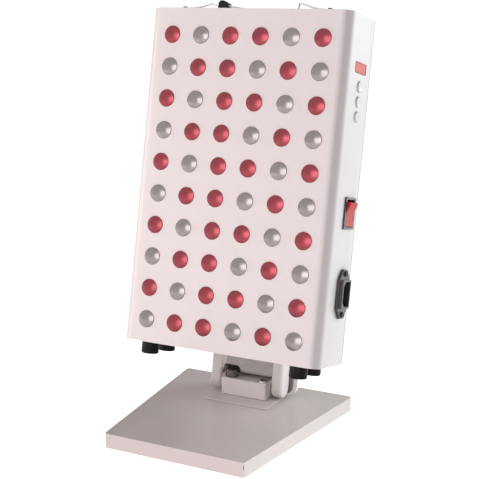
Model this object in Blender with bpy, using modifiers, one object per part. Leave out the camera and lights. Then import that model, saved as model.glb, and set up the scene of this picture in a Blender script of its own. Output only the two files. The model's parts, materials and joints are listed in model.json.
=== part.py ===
"""Desk-top red light therapy panel on a weighted base with a tilting hinge.

Units are metres and +Z is up. The panel faces -Y and leans back on its hinge.
The controls, the power switch and the mains inlet are on its +X side.
Stand pieces are placed from the point of the floor under the hinge's axis.
Panel pieces are placed from the hinge's axis, in the leaning panel's own
directions: X across, Y from the light side to the back, Z up along the panel.
"""

import math

import bmesh
import bpy
from mathutils import Matrix, Vector

# Panel housing
PANEL_WIDTH = 0.2191
PANEL_HEIGHT = 0.3399
SIDE_DEPTH = 0.0607
EDGE_CHAMFER = 0.0071
HOUSING_WALL = 0.0012
RETURN_FLANGE = 0.0080
FRONT_EDGE_RADIUS = 0.0008

# Lamp grid
COLUMNS = 6
ROWS = 10
SIDE_COLUMN_MARGIN = 0.02705
TOP_ROW_MARGIN = 0.0271
BOTTOM_ROW_MARGIN = 0.0233
LENS_HOLE_RADIUS = 0.00875
LENS_DOME_RISE = 0.0034
LENS_CARRIER_THICKNESS = 0.0020
LENS_CARRIER_MARGIN = 0.0180
LENS_SIDES = 10

# Panel leaning on its hinge
REST_TILT = math.radians(11.77)
PIVOT_HEIGHT_ABOVE_BASE = 0.0125
FACE_AHEAD_OF_PIVOT = 0.0836
PANEL_BOTTOM_ABOVE_PIVOT = 0.03855

# Rear cover
COVER_DEPTH = 0.0040
COVER_SHEET = 0.0012
COVER_EDGE_RADIUS = 0.0016
GRILLE_RINGS = 4
GRILLE_SLOT = 0.0045
GRILLE_PITCH = 0.0082
GRILLE_SPOKE = 0.0040
COVER_SCREW_INSET = 0.0045

# Inside the panel
LED_BOARD_THICKNESS = 0.0016
LED_BOARD_MARGIN = 0.0100
SINK_BASE = 0.0030
SINK_FIN_HEIGHT = 0.0120
SINK_FIN_THICKNESS = 0.0014
SINK_FIN_PITCH = 0.0120
SINK_SIDE_MARGIN = 0.0207
SINK_END_MARGIN = 0.0200
FAN_SIZE = 0.0800
FAN_DEPTH = 0.0250
FAN_BORE_RADIUS = 0.0380
FAN_HUB_RADIUS = 0.0160
FAN_CENTRE_RISE = 0.0480
FAN_GROUP_HEIGHT = 0.2080
FAN_STRUT = 0.0050
FAN_HUB_PLATE = 0.0035
ROTOR_BLADES = 7
ROTOR_TIP_CLEARANCE = 0.0020
BLADE_CHORD = 0.0186
BLADE_THICKNESS = 0.0014
BLADE_PITCH = math.radians(38)
BLADE_ROOT_SHARE = 0.75
DRIVER_WIDTH = 0.0400
DRIVER_HEIGHT = 0.1500
DRIVER_DEPTH = 0.0260
DRIVER_CLEARANCE = 0.0020

# Controls on the panel's side: places are measured down from the panel's top
# or up from its bottom, and back from its face
CONTROL_LINE_DEPTH = 0.0356
DISPLAY_BELOW_TOP = 0.0502
DISPLAY_LENGTH = 0.0290
DISPLAY_HEIGHT = 0.0110
DISPLAY_WINDOW_THICKNESS = 0.0016
DISPLAY_MODULE_DEPTH = 0.0064
DISPLAY_MODULE_RIM = 0.0022
BUTTONS_BELOW_TOP = 0.0680
BUTTON_PITCH = 0.01445
BUTTON_COUNT = 3
BUTTON_RADIUS = 0.0051
BUTTON_RISE = 0.0017
BUTTON_FLANGE = 0.0012
BUTTON_FLANGE_RADIUS = 0.0062
BUTTON_STEM_RADIUS = 0.0019
BUTTON_TRAVEL = 0.0010
SWITCH_BOX = 0.0060
SWITCH_RISE = 0.0020
CONTROL_BOARD_LENGTH = 0.0380
CONTROL_BOARD_HEIGHT = 0.0780
CONTROL_BOARD_THICKNESS = 0.0016
CONTROL_POST_RADIUS = 0.0028
CONTROL_POST_INSET = 0.0050

# Power switch
ROCKER_LINE_DEPTH = 0.0405
ROCKER_ABOVE_BOTTOM = 0.1498
ROCKER_BEZEL_LENGTH = 0.0310
ROCKER_BEZEL_WIDTH = 0.0256
ROCKER_BEZEL_RISE = 0.0018
ROCKER_BODY_LENGTH = 0.0282
ROCKER_BODY_WIDTH = 0.0222
ROCKER_BODY_DEPTH = 0.0240
ROCKER_WELL_LENGTH = 0.0266
ROCKER_WELL_WIDTH = 0.0196
ROCKER_WELL_DEPTH = 0.0150
ROCKER_LEVER_LENGTH = 0.0240
ROCKER_LEVER_END_RISE = 0.0042
ROCKER_LEVER_WAIST_RISE = 0.0012
ROCKER_AXIS_SINK = 0.0042
ROCKER_PIN_RADIUS = 0.0014
ROCKER_SWING = math.radians(9)

# Mains inlet
INLET_LINE_DEPTH = 0.0405
INLET_ABOVE_BOTTOM = 0.0712
INLET_FLANGE_LENGTH = 0.0480
INLET_FLANGE_WIDTH = 0.0250
INLET_FLANGE_THICKNESS = 0.0030
INLET_TIP_WIDTH = 0.0090
INLET_STRAIGHT_LENGTH = 0.0290
INLET_COLLAR_LENGTH = 0.0280
INLET_COLLAR_WIDTH = 0.0205
INLET_COLLAR_RISE = 0.0062
INLET_BODY_DEPTH = 0.0200
INLET_SOCKET_LENGTH = 0.0242
INLET_SOCKET_WIDTH = 0.0162
INLET_SOCKET_CUT = 0.0045
INLET_SOCKET_DEPTH = 0.0200
INLET_PIN_PITCH = 0.0070
INLET_PIN_OFFSET = 0.0020
INLET_PIN_WIDTH = 0.0040
INLET_PIN_THICKNESS = 0.0020
INLET_PIN_LENGTH = 0.0140
INLET_SCREW_PITCH = 0.0400
INLET_SCREW_HEAD_RADIUS = 0.0028
INLET_SCREW_HEAD = 0.0016
INLET_SCREW_RADIUS = 0.0015
INLET_SCREW_LENGTH = 0.0070

# Bumper feet under the panel
FOOT_RADIUS = 0.0090
FOOT_HEIGHT = 0.0130
FOOT_EDGE_RADIUS = 0.0014
FOOT_FROM_SIDE = 0.0256
FOOT_FRONT_DEPTH = 0.0154
FOOT_REAR_DEPTH = 0.0490
FOOT_STEM_RADIUS = 0.0022
FOOT_STEM_LENGTH = 0.0040

# Hanging wire on top of the panel
WIRE_RADIUS = 0.0009
WIRE_EYE_FROM_SIDE = 0.02965
WIRE_EYE_DEPTH = 0.0165
WIRE_EYE_RADIUS = 0.0024
WIRE_EYE_RISE = 0.0040
WIRE_EYE_STEM_RADIUS = 0.0014
WIRE_EYE_STEM_LENGTH = 0.0040
WIRE_REST_DEPTH = 0.0400
WIRE_CREST_RISE = 0.0074
GRIPPER_LENGTH = 0.0112
GRIPPER_WIDTH = 0.0080
GRIPPER_HEIGHT = 0.0088
GRIPPER_CENTRE_X = -0.0320
GRIPPER_DEPTH = 0.0120
GRIPPER_TAIL_HEIGHT = 0.0058
GRIPPER_BORE_HEIGHT = 0.0038

# Base of the stand
BASE_FRONT_WIDTH = 0.1520
BASE_REAR_WIDTH = 0.1993
BASE_DEPTH = 0.2028
BASE_SKIRT = 0.0148
BASE_SHEET = 0.0015
BASE_CORNER_RADIUS = 0.0034
BASE_BEND_RADIUS = 0.0016
BASE_FRONT_AHEAD_OF_PIVOT = 0.1594
BASE_SEAM = 0.0008
PAD_DROP = 0.0012
PAD_RADIUS = 0.0090
PAD_INSET = 0.0180
BALLAST_THICKNESS = 0.0060
BALLAST_MARGIN = 0.0060

# Hinge
FOOT_PLATE_WIDTH = 0.0740
FOOT_PLATE_FRONT = 0.0330
FOOT_PLATE_REAR = 0.0085
FOOT_PLATE_THICKNESS = 0.0010
BLOCK_WIDTH = 0.0510
BLOCK_FRONT = 0.0145
BLOCK_REAR = 0.0066
BLOCK_TOP_ABOVE_PIVOT = 0.0075
SHAFT_RADIUS = 0.0040
SHAFT_HALF_LENGTH = 0.0385
SHAFT_RUNNING_GAP = 0.0003
WASHER_RADIUS = 0.0094
ARM_INNER_X = 0.0290
ARM_OUTER_X = 0.0420
ARM_RADIUS = 0.0097
ARM_EDGE_RADIUS = 0.0032
ARM_EDGE_STEPS = 3
ARM_TOP = 0.0600
WEB_BOTTOM = 0.0104
WEB_FRONT = 0.0070
WEB_REAR = 0.0030
WEB_LIP_RADIUS = 0.0030
BOLT_X = 0.0162
BOLT_Y = 0.0078
BOLT_OPENING_TOP = 0.0176
BOLT_OPENING_LEFT = 0.0280
BOLT_OPENING_RIGHT = 0.0082
BOLT_OPENING_LEFT_CORNER = 0.0022
BOLT_OPENING_RIGHT_CORNER = 0.0050
BOLT_FLANGE_RADIUS = 0.0066
BOLT_FLANGE = 0.0014
BOLT_HEX_RADIUS = 0.0062
BOLT_HEX_HEIGHT = 0.0068
BOLT_SHANK_RADIUS = 0.0028
SCREW_X = 0.0200
SCREW_HEAD_RADIUS = 0.0042
SCREW_HEAD_HEIGHT = 0.0034
SCREW_HEAD_RISE = 0.0014
SCREW_SHANK_RADIUS = 0.0022

# Yoke's flange on the panel's back, and the stop plate behind the yoke
FLANGE_HALF_WIDTH = 0.0420
FLANGE_FOOT = 0.0430
FLANGE_HEIGHT = 0.0480
FLANGE_BACK = 0.0080
FLANGE_SCREW_X = 0.0330
FLANGE_SCREW_INSET = 0.0080
FLANGE_SCREW_RADIUS = 0.0019
FLANGE_SCREW_HEAD_RADIUS = 0.0040
FLANGE_SCREW_HEAD = 0.0030
NUT_PLATE_THICKNESS = 0.0030
STOP_PAD_THICKNESS = 0.0032
STOP_PAD_HALF_WIDTH = 0.0450
STOP_PLATE_THICKNESS = 0.0040
STOP_PLATE_HALF_WIDTH = 0.0495
STOP_PLATE_BOTTOM = 0.0062
STOP_PLATE_CORNER = 0.0080
STOP_PLATE_TOP = 0.0580
STOP_SCREW_X = 0.0355
STOP_SCREW_RISE = 0.0440
STOP_SCREW_LENGTH = 0.0140

# Gaps between pieces
SEAT_GAP = 0.0003
FIT_GAP = 0.0004
OVERRUN = 0.0020
MERGE_DISTANCE = 0.00001
DEGENERATE_DISTANCE = 0.000001
SMOOTH_ANGLE = math.radians(35)
FLAT_ANGLE = math.radians(1)
ROUND_SIDES = 20
SMALL_SIDES = 12
HEX_SIDES = 6

# Places worked out from the sizes above
BASE_TOP = PAD_DROP + BASE_SKIRT
PIVOT_HEIGHT = BASE_TOP + PIVOT_HEIGHT_ABOVE_BASE
FACE_Y = -FACE_AHEAD_OF_PIVOT
BOTTOM_Z = PANEL_BOTTOM_ABOVE_PIVOT
TOP_Z = BOTTOM_Z + PANEL_HEIGHT
SIDE_X = PANEL_WIDTH / 2
WALL_INSIDE_X = SIDE_X - HOUSING_WALL
HOUSING_REAR_Y = FACE_Y + SIDE_DEPTH
COVER_FRONT_Y = HOUSING_REAR_Y + SEAT_GAP
COVER_REAR_Y = COVER_FRONT_Y + COVER_DEPTH
COVER_INSIDE_Y = COVER_REAR_Y - COVER_SHEET
COLUMN_PITCH = (PANEL_WIDTH - 2 * SIDE_COLUMN_MARGIN) / (COLUMNS - 1)
ROW_PITCH = (PANEL_HEIGHT - TOP_ROW_MARGIN - BOTTOM_ROW_MARGIN) / (ROWS - 1)
SINK_WIDTH = PANEL_WIDTH - 2 * SINK_SIDE_MARGIN
SINK_HEIGHT = PANEL_HEIGHT - 2 * SINK_END_MARGIN
DRIVER_CENTRE_X = -SIDE_X + RETURN_FLANGE + DRIVER_CLEARANCE + DRIVER_WIDTH / 2
FOOT_FROM_CENTRE = SIDE_X - FOOT_FROM_SIDE
WIRE_EYE_FROM_CENTRE = SIDE_X - WIRE_EYE_FROM_SIDE
ARM_MIDDLE_X = (ARM_INNER_X + ARM_OUTER_X) / 2
FOOT_PLATE_TOP = -PIVOT_HEIGHT_ABOVE_BASE + SEAT_GAP + FOOT_PLATE_THICKNESS
FAN_CENTRES_Z = [TOP_Z - PANEL_HEIGHT + FAN_GROUP_HEIGHT - FAN_CENTRE_RISE,
                 TOP_Z - PANEL_HEIGHT + FAN_GROUP_HEIGHT + FAN_CENTRE_RISE]

COLOURS = {
    "white_paint": ((0.83, 0.80, 0.80), 0.38, 0.0),
    "side_paint": ((0.84, 0.84, 0.84), 0.40, 0.0),
    "base_paint": ((0.60, 0.56, 0.55), 0.18, 0.0),
    "cast_paint": ((0.62, 0.59, 0.58), 0.42, 0.0),
    "steel": ((0.56, 0.55, 0.53), 0.30, 1.0),
    "dark_steel": ((0.10, 0.10, 0.10), 0.35, 1.0),
    "aluminium": ((0.72, 0.72, 0.73), 0.35, 1.0),
    "black_plastic": ((0.025, 0.025, 0.027), 0.42, 0.0),
    "grey_plastic": ((0.20, 0.20, 0.21), 0.45, 0.0),
    "rubber": ((0.015, 0.015, 0.016), 0.65, 0.0),
    "red_plastic": ((0.70, 0.03, 0.03), 0.25, 0.0),
    "button_plastic": ((0.74, 0.73, 0.72), 0.35, 0.0),
    "lens": ((0.55, 0.10, 0.12), 0.08, 0.0),
    "display_red": ((0.62, 0.10, 0.09), 0.15, 0.0),
    "board_green": ((0.05, 0.22, 0.10), 0.45, 0.0),
    "board_white": ((0.80, 0.80, 0.78), 0.45, 0.0),
    "brass": ((0.75, 0.60, 0.32), 0.30, 1.0),
}


def clear_scene():
    for item in list(bpy.data.objects):
        bpy.data.objects.remove(item, do_unlink=True)


def new_collection(name):
    group = bpy.data.collections.new(name)
    bpy.context.scene.collection.children.link(group)
    return group


def paint(name):
    """The named material, made the first time it is asked for."""
    found = bpy.data.materials.get(name)
    if found:
        return found
    colour, roughness, metallic = COLOURS[name]
    made = bpy.data.materials.new(name)
    made.use_nodes = True
    shader = made.node_tree.nodes["Principled BSDF"]
    shader.inputs["Base Color"].default_value = (*colour, 1.0)
    shader.inputs["Roughness"].default_value = roughness
    shader.inputs["Metallic"].default_value = metallic
    made.diffuse_color = (*colour, 1.0)
    return made


def empty(name, parent, location, rotation=(0, 0, 0)):
    frame = bpy.data.objects.new(name, None)
    PARTS.objects.link(frame)
    frame.parent = parent
    frame.location = location
    frame.rotation_euler = rotation
    return frame


def add(name, mesh, look, parent, location=(0, 0, 0)):
    """A part of the model, or a cutter when look is None."""
    item = bpy.data.objects.new(name, mesh)
    item.parent = parent
    item.location = location
    if look is None:
        CUTTERS.objects.link(item)
        item.hide_render = True
        item.display_type = "WIRE"
    else:
        PARTS.objects.link(item)
        mesh.materials.clear()
        mesh.materials.append(paint(look))
    return item


def mesh_from(shape, name):
    mesh = bpy.data.meshes.new(name)
    shape.to_mesh(mesh)
    shape.free()
    return mesh


def box_mesh(name, low, high):
    """A box between two corners."""
    shape = bmesh.new()
    bmesh.ops.create_cube(shape, size=1.0)
    low = Vector(low)
    high = Vector(high)
    bmesh.ops.scale(shape, vec=high - low, verts=shape.verts)
    bmesh.ops.translate(shape, vec=(low + high) / 2, verts=shape.verts)
    return mesh_from(shape, name)


AXIS_TURN = {
    "X": Matrix.Rotation(math.pi / 2, 4, "Y"),
    "Y": Matrix.Rotation(-math.pi / 2, 4, "X"),
    "Z": Matrix.Identity(4),
}


def rod_into(shape, radius, start, length, axis, sides, end_radius=None):
    """Adds a closed cylinder or cone to a bmesh, from start along +axis."""
    made = bmesh.ops.create_cone(
        shape, cap_ends=True, segments=sides, radius1=radius,
        radius2=radius if end_radius is None else end_radius, depth=length)
    middle = Matrix.Translation(Vector(start)) @ AXIS_TURN[axis] @ Matrix.Translation((0, 0, length / 2))
    bmesh.ops.transform(shape, matrix=middle, verts=made["verts"])


def rod_mesh(name, radius, start, length, axis, sides=ROUND_SIDES, end_radius=None):
    shape = bmesh.new()
    rod_into(shape, radius, start, length, axis, sides, end_radius)
    mesh = mesh_from(shape, name)
    smooth(mesh)
    return mesh


def smooth(mesh):
    mesh.shade_smooth()
    mesh.set_sharp_from_angle(angle=SMOOTH_ANGLE)


def turned_mesh(name, profile, axis, sides=ROUND_SIDES):
    """A solid turned about an axis from (radius, height) points, bottom to top."""
    shape = bmesh.new()
    corners = [shape.verts.new((radius, 0, height)) for radius, height in reversed(profile)]
    for upper, lower in zip(corners, corners[1:]):
        shape.edges.new((upper, lower))
    source = bpy.data.objects.new(name, mesh_from(shape, name))
    PARTS.objects.link(source)
    screw = source.modifiers.new("Turn", "SCREW")
    screw.steps = sides
    screw.render_steps = sides
    screw.use_merge_vertices = True
    screw.merge_threshold = MERGE_DISTANCE
    mesh = evaluated_mesh(source, name)
    mesh.transform(AXIS_TURN[axis])
    smooth(mesh)
    return mesh


def evaluated_mesh(source, name):
    """The mesh of a modified or curve object, which is then removed."""
    bpy.context.view_layer.update()
    graph = bpy.context.evaluated_depsgraph_get()
    mesh = bpy.data.meshes.new_from_object(source.evaluated_get(graph))
    mesh.name = name
    bpy.data.objects.remove(source, do_unlink=True)
    shape = bmesh.new()
    shape.from_mesh(mesh)
    bmesh.ops.remove_doubles(shape, verts=shape.verts, dist=MERGE_DISTANCE)
    bmesh.ops.dissolve_degenerate(shape, edges=shape.edges, dist=DEGENERATE_DISTANCE)
    shape.to_mesh(mesh)
    shape.free()
    return mesh


def outline_mesh(name, points, thickness, plane, offset=0.0):
    """A flat outline with a thickness, laid in plane XY, XZ or YZ.

    The first coordinate of each point runs along the plane's first letter.
    offset is where the middle of the thickness lies on the third direction.
    """
    curve = bpy.data.curves.new(name, "CURVE")
    curve.dimensions = "2D"
    curve.fill_mode = "BOTH"
    curve.extrude = thickness / 2
    line = curve.splines.new("POLY")
    line.points.add(len(points) - 1)
    for spot, (across, along) in zip(line.points, points):
        spot.co = (across, along, 0, 1)
    line.use_cyclic_u = True
    source = bpy.data.objects.new(name, curve)
    PARTS.objects.link(source)
    mesh = evaluated_mesh(source, name)
    turns = {
        "XY": Matrix.Identity(4),
        "XZ": Matrix.Rotation(math.pi / 2, 4, "X"),
        "YZ": Matrix(((0, 0, 1, 0), (1, 0, 0, 0), (0, 1, 0, 0), (0, 0, 0, 1))),
    }
    moves = {"XY": (0, 0, offset), "XZ": (0, offset, 0), "YZ": (offset, 0, 0)}
    mesh.transform(Matrix.Translation(moves[plane]) @ turns[plane])
    smooth(mesh)
    return mesh


def rounded(points, radii, steps=4):
    """An outline whose corners are rounded, one radius for each corner."""
    result = []
    count = len(points)
    for index, (point, radius) in enumerate(zip(points, radii)):
        here = Vector(point)
        if radius == 0:
            result.append(tuple(here))
            continue
        back = (Vector(points[index - 1]) - here).normalized()
        ahead = (Vector(points[(index + 1) % count]) - here).normalized()
        half = back.angle(ahead) / 2
        centre = here + (back + ahead).normalized() * radius / math.sin(half)
        reach = radius / math.tan(half)
        first = here + back * reach - centre
        last = here + ahead * reach - centre
        turn = first.angle_signed(last)
        for step in range(steps + 1):
            angle = -turn * step / steps
            spot = Matrix.Rotation(angle, 2) @ first
            result.append(tuple(centre + spot))
    return result


def combine(target, other, operation):
    change = target.modifiers.new(operation.title(), "BOOLEAN")
    change.operation = operation
    change.solver = "EXACT"
    change.object = other


def cut(target, mesh, location=(0, 0, 0)):
    """Takes a mesh, placed in the target's parent's directions, out of the target."""
    cutter = add(mesh.name, mesh, None, target.parent, location)
    combine(target, cutter, "DIFFERENCE")
    return cutter


def join(target, mesh, location=(0, 0, 0)):
    """Makes a mesh part of the target's one solid."""
    extra = add(mesh.name, mesh, None, target.parent, location)
    combine(target, extra, "UNION")
    return extra


def round_edges(item, radius, segments, chosen):
    """Bevels the edges for which chosen(first corner, second corner) is true."""
    mesh = item.data
    weights = mesh.attributes.new("bevel_weight_edge", "FLOAT", "EDGE")
    for edge in mesh.edges:
        first, second = (mesh.vertices[corner].co for corner in edge.vertices)
        weights.data[edge.index].value = 1.0 if chosen(first, second) else 0.0
    bevel = item.modifiers.new("Rounded edges", "BEVEL")
    bevel.limit_method = "WEIGHT"
    bevel.width = radius
    bevel.segments = segments


# Stand

def base_outline(margin):
    """The base's trapezoid, front edge first, drawn in by a margin on every side."""
    front = -BASE_FRONT_AHEAD_OF_PIVOT + margin
    rear = BASE_DEPTH - BASE_FRONT_AHEAD_OF_PIVOT - margin
    slope = (BASE_REAR_WIDTH - BASE_FRONT_WIDTH) / 2 / BASE_DEPTH
    side_margin = margin * math.sqrt(1 + slope * slope)
    front_half = BASE_FRONT_WIDTH / 2 + slope * margin - side_margin
    rear_half = BASE_REAR_WIDTH / 2 - slope * margin - side_margin
    corners = [(-front_half, front), (front_half, front), (rear_half, rear), (-rear_half, rear)]
    radius = max(BASE_CORNER_RADIUS - margin, BASE_CORNER_RADIUS / 4)
    return rounded(corners, [radius] * len(corners), steps=3)


def base_corners():
    front = -BASE_FRONT_AHEAD_OF_PIVOT
    rear = front + BASE_DEPTH
    return [(-BASE_FRONT_WIDTH / 2, front), (BASE_FRONT_WIDTH / 2, front),
            (BASE_REAR_WIDTH / 2, rear), (-BASE_REAR_WIDTH / 2, rear)]


def seam_mesh(corner):
    """A thin upright slot where two folded skirts meet at a corner of the base."""
    reach = BASE_CORNER_RADIUS + BASE_SHEET
    low = (-reach, -BASE_SEAM / 2, PAD_DROP - OVERRUN)
    high = (reach, BASE_SEAM / 2, BASE_TOP - BASE_BEND_RADIUS - BASE_SHEET)
    mesh = box_mesh("seam_cut", low, high)
    middle = Vector((0, BASE_DEPTH / 2 - BASE_FRONT_AHEAD_OF_PIVOT))
    outward = Vector(corner) - middle
    bearing = math.copysign(1, outward.x) * math.copysign(1, outward.y) * math.pi / 4
    mesh.transform(Matrix.Translation((*corner, 0)) @ Matrix.Rotation(bearing, 4, "Z"))
    return mesh


def build_base(stand):
    middle = PAD_DROP + BASE_SKIRT / 2
    shell = add("base_shell", outline_mesh("base_shell", base_outline(0), BASE_SKIRT, "XY", middle),
                "base_paint", stand)
    round_edges(shell, BASE_BEND_RADIUS, 2,
                lambda a, b: min(a.z, b.z) > BASE_TOP - BASE_SHEET)
    hollow_top = BASE_TOP - BASE_SHEET
    hollow_bottom = PAD_DROP - OVERRUN
    cut(shell, outline_mesh("base_hollow", base_outline(BASE_SHEET), hollow_top - hollow_bottom, "XY",
                            (hollow_top + hollow_bottom) / 2))
    for corner in base_corners():
        cut(shell, seam_mesh(corner))

    ballast_top = hollow_top - SEAT_GAP
    ballast = add("ballast_plate",
                  outline_mesh("ballast_plate", base_outline(BALLAST_MARGIN), BALLAST_THICKNESS, "XY",
                               ballast_top - BALLAST_THICKNESS / 2), "dark_steel", stand)
    pad_top = ballast_top - BALLAST_THICKNESS - SEAT_GAP
    pad_mesh = turned_mesh("base_pad", [(0, 0), (PAD_RADIUS - PAD_DROP, 0), (PAD_RADIUS, PAD_DROP),
                                        (PAD_RADIUS, pad_top), (0, pad_top)], "Z", SMALL_SIDES)
    centre_y = BASE_DEPTH / 2 - BASE_FRONT_AHEAD_OF_PIVOT
    for number, (x, y) in enumerate(base_corners(), start=1):
        place = (x - math.copysign(PAD_INSET, x), y - math.copysign(PAD_INSET, y - centre_y), 0)
        add("base_pad_%d" % number, pad_mesh, "rubber", stand, place)
    return shell, ballast


def drill_down(items, x, y, radius, top, bottom):
    """One upright hole through each item, between two heights."""
    for item in items:
        cut(item, rod_mesh("bolt_hole", radius, (x, y, bottom), top - bottom, "Z", SMALL_SIDES))


def build_hinge_block(stand, shell, ballast):
    """Foot plate, block, shaft, friction washers and the two fixings."""
    plate_bottom = BASE_TOP + SEAT_GAP
    plate_top = plate_bottom + FOOT_PLATE_THICKNESS
    plate = add("hinge_foot_plate",
                box_mesh("hinge_foot_plate", (-FOOT_PLATE_WIDTH / 2, -FOOT_PLATE_FRONT, plate_bottom),
                         (FOOT_PLATE_WIDTH / 2, FOOT_PLATE_REAR, plate_top)), "base_paint", stand)
    block_bottom = plate_top + SEAT_GAP
    block_top = PIVOT_HEIGHT + BLOCK_TOP_ABOVE_PIVOT
    half = BLOCK_WIDTH / 2
    block = add("hinge_block", box_mesh("hinge_block", (-half, -BLOCK_FRONT, block_bottom),
                                        (half, BLOCK_REAR, block_top)), "cast_paint", stand)
    round_edges(block, FRONT_EDGE_RADIUS, 1, lambda a, b: True)
    bore = SHAFT_RADIUS + SHAFT_RUNNING_GAP
    cut(block, rod_mesh("block_bore", bore, (-half - OVERRUN, 0, PIVOT_HEIGHT),
                        BLOCK_WIDTH + 2 * OVERRUN, "X"))
    add("pivot_shaft", rod_mesh("pivot_shaft", SHAFT_RADIUS, (-SHAFT_HALF_LENGTH, 0, PIVOT_HEIGHT),
                                2 * SHAFT_HALF_LENGTH, "X"), "steel", stand)

    ballast_top = BASE_TOP - BASE_SHEET - SEAT_GAP
    thread_end = ballast_top - BALLAST_THICKNESS * 2 / 3
    fixings = [("tension_bolt", -BOLT_X, BOLT_SHANK_RADIUS), ("block_screw", SCREW_X, SCREW_SHANK_RADIUS)]
    for name, x, radius in fixings:
        drill_down([shell, plate, block, ballast], x, -BOLT_Y, radius + FIT_GAP,
                   block_top + OVERRUN, thread_end - SEAT_GAP)
    seat = block_top + SEAT_GAP
    bolt = add("tension_bolt", rod_mesh("tension_bolt", BOLT_SHANK_RADIUS, (-BOLT_X, -BOLT_Y, thread_end),
                                        seat + BOLT_FLANGE / 2 - thread_end, "Z", SMALL_SIDES),
               "dark_steel", stand)
    join(bolt, rod_mesh("bolt_flange", BOLT_FLANGE_RADIUS, (-BOLT_X, -BOLT_Y, seat), BOLT_FLANGE, "Z",
                        ROUND_SIDES))
    join(bolt, rod_mesh("bolt_hexagon", BOLT_HEX_RADIUS, (-BOLT_X, -BOLT_Y, seat + BOLT_FLANGE / 2),
                        BOLT_HEX_HEIGHT, "Z", HEX_SIDES))
    pocket_floor = block_top + SCREW_HEAD_RISE - SCREW_HEAD_HEIGHT - SEAT_GAP
    cut(block, rod_mesh("screw_pocket", SCREW_HEAD_RADIUS + FIT_GAP, (SCREW_X, -BOLT_Y, pocket_floor),
                        SCREW_HEAD_HEIGHT + OVERRUN, "Z"))
    head_bottom = pocket_floor + SEAT_GAP
    screw = add("block_screw", rod_mesh("block_screw", SCREW_SHANK_RADIUS, (SCREW_X, -BOLT_Y, thread_end),
                                        head_bottom + SCREW_HEAD_HEIGHT / 2 - thread_end, "Z", SMALL_SIDES),
                "steel", stand)
    join(screw, rod_mesh("screw_head", SCREW_HEAD_RADIUS, (SCREW_X, -BOLT_Y, head_bottom),
                         SCREW_HEAD_HEIGHT, "Z"))
    socket_floor = head_bottom + SCREW_HEAD_HEIGHT / 2
    cut(screw, rod_mesh("screw_socket", SCREW_SHANK_RADIUS, (SCREW_X, -BOLT_Y, socket_floor),
                        SCREW_HEAD_HEIGHT, "Z", HEX_SIDES))

    washer_length = ARM_INNER_X - half - 2 * SEAT_GAP
    for name, start in (("friction_washer_left", -half - SEAT_GAP - washer_length),
                        ("friction_washer_right", half + SEAT_GAP)):
        washer = add(name, rod_mesh(name, WASHER_RADIUS, (start, 0, PIVOT_HEIGHT), washer_length, "X"),
                     "steel", stand)
        cut(washer, rod_mesh("washer_bore", bore, (start - OVERRUN, 0, PIVOT_HEIGHT),
                             washer_length + 2 * OVERRUN, "X"))


# Yoke and stop plate

def arm_outline():
    """An upright bar seen from the side, with a half round end about the pivot."""
    steps = 10
    end = [(ARM_RADIUS * math.cos(math.pi + math.pi * step / steps),
            ARM_RADIUS * math.sin(math.pi + math.pi * step / steps)) for step in range(steps + 1)]
    return [(-ARM_RADIUS, ARM_TOP), *end, (ARM_RADIUS, ARM_TOP)]


def arm_mesh(name, middle_x):
    """One arm of the yoke, with rounded edges along both of its sides."""
    thickness = ARM_OUTER_X - ARM_INNER_X
    mesh = outline_mesh(name, arm_outline(), thickness, "YZ", middle_x)
    shape = bmesh.new()
    shape.from_mesh(mesh)
    bmesh.ops.dissolve_limit(shape, angle_limit=FLAT_ANGLE, verts=shape.verts, edges=shape.edges)
    rims = []
    for edge in shape.edges:
        first, second = (vertex.co for vertex in edge.verts)
        across = abs(first.x - second.x)
        if across < MERGE_DISTANCE and min(first.z, second.z) < ARM_TOP - MERGE_DISTANCE:
            rims.append(edge)
    bmesh.ops.bevel(shape, geom=rims, offset=ARM_EDGE_RADIUS, segments=ARM_EDGE_STEPS, profile=0.5,
                    affect="EDGES")
    shape.to_mesh(mesh)
    shape.free()
    smooth(mesh)
    return mesh


def flange_screw_places():
    low = FLANGE_FOOT + FLANGE_SCREW_INSET
    high = FLANGE_FOOT + FLANGE_HEIGHT - FLANGE_SCREW_INSET
    return [(-FLANGE_SCREW_X, low), (FLANGE_SCREW_X, low), (-FLANGE_SCREW_X, high), (FLANGE_SCREW_X, high)]


def bolt_opening_outline():
    """The opening in the web's lower edge, seen from the front, round the bolt's head."""
    low = WEB_BOTTOM - OVERRUN
    corners = [(-BOLT_OPENING_LEFT, low), (-BOLT_OPENING_LEFT, BOLT_OPENING_TOP),
               (-BOLT_OPENING_RIGHT, BOLT_OPENING_TOP), (-BOLT_OPENING_RIGHT, low)]
    return rounded(corners, [0, BOLT_OPENING_LEFT_CORNER, BOLT_OPENING_RIGHT_CORNER, 0], steps=5)


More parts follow.
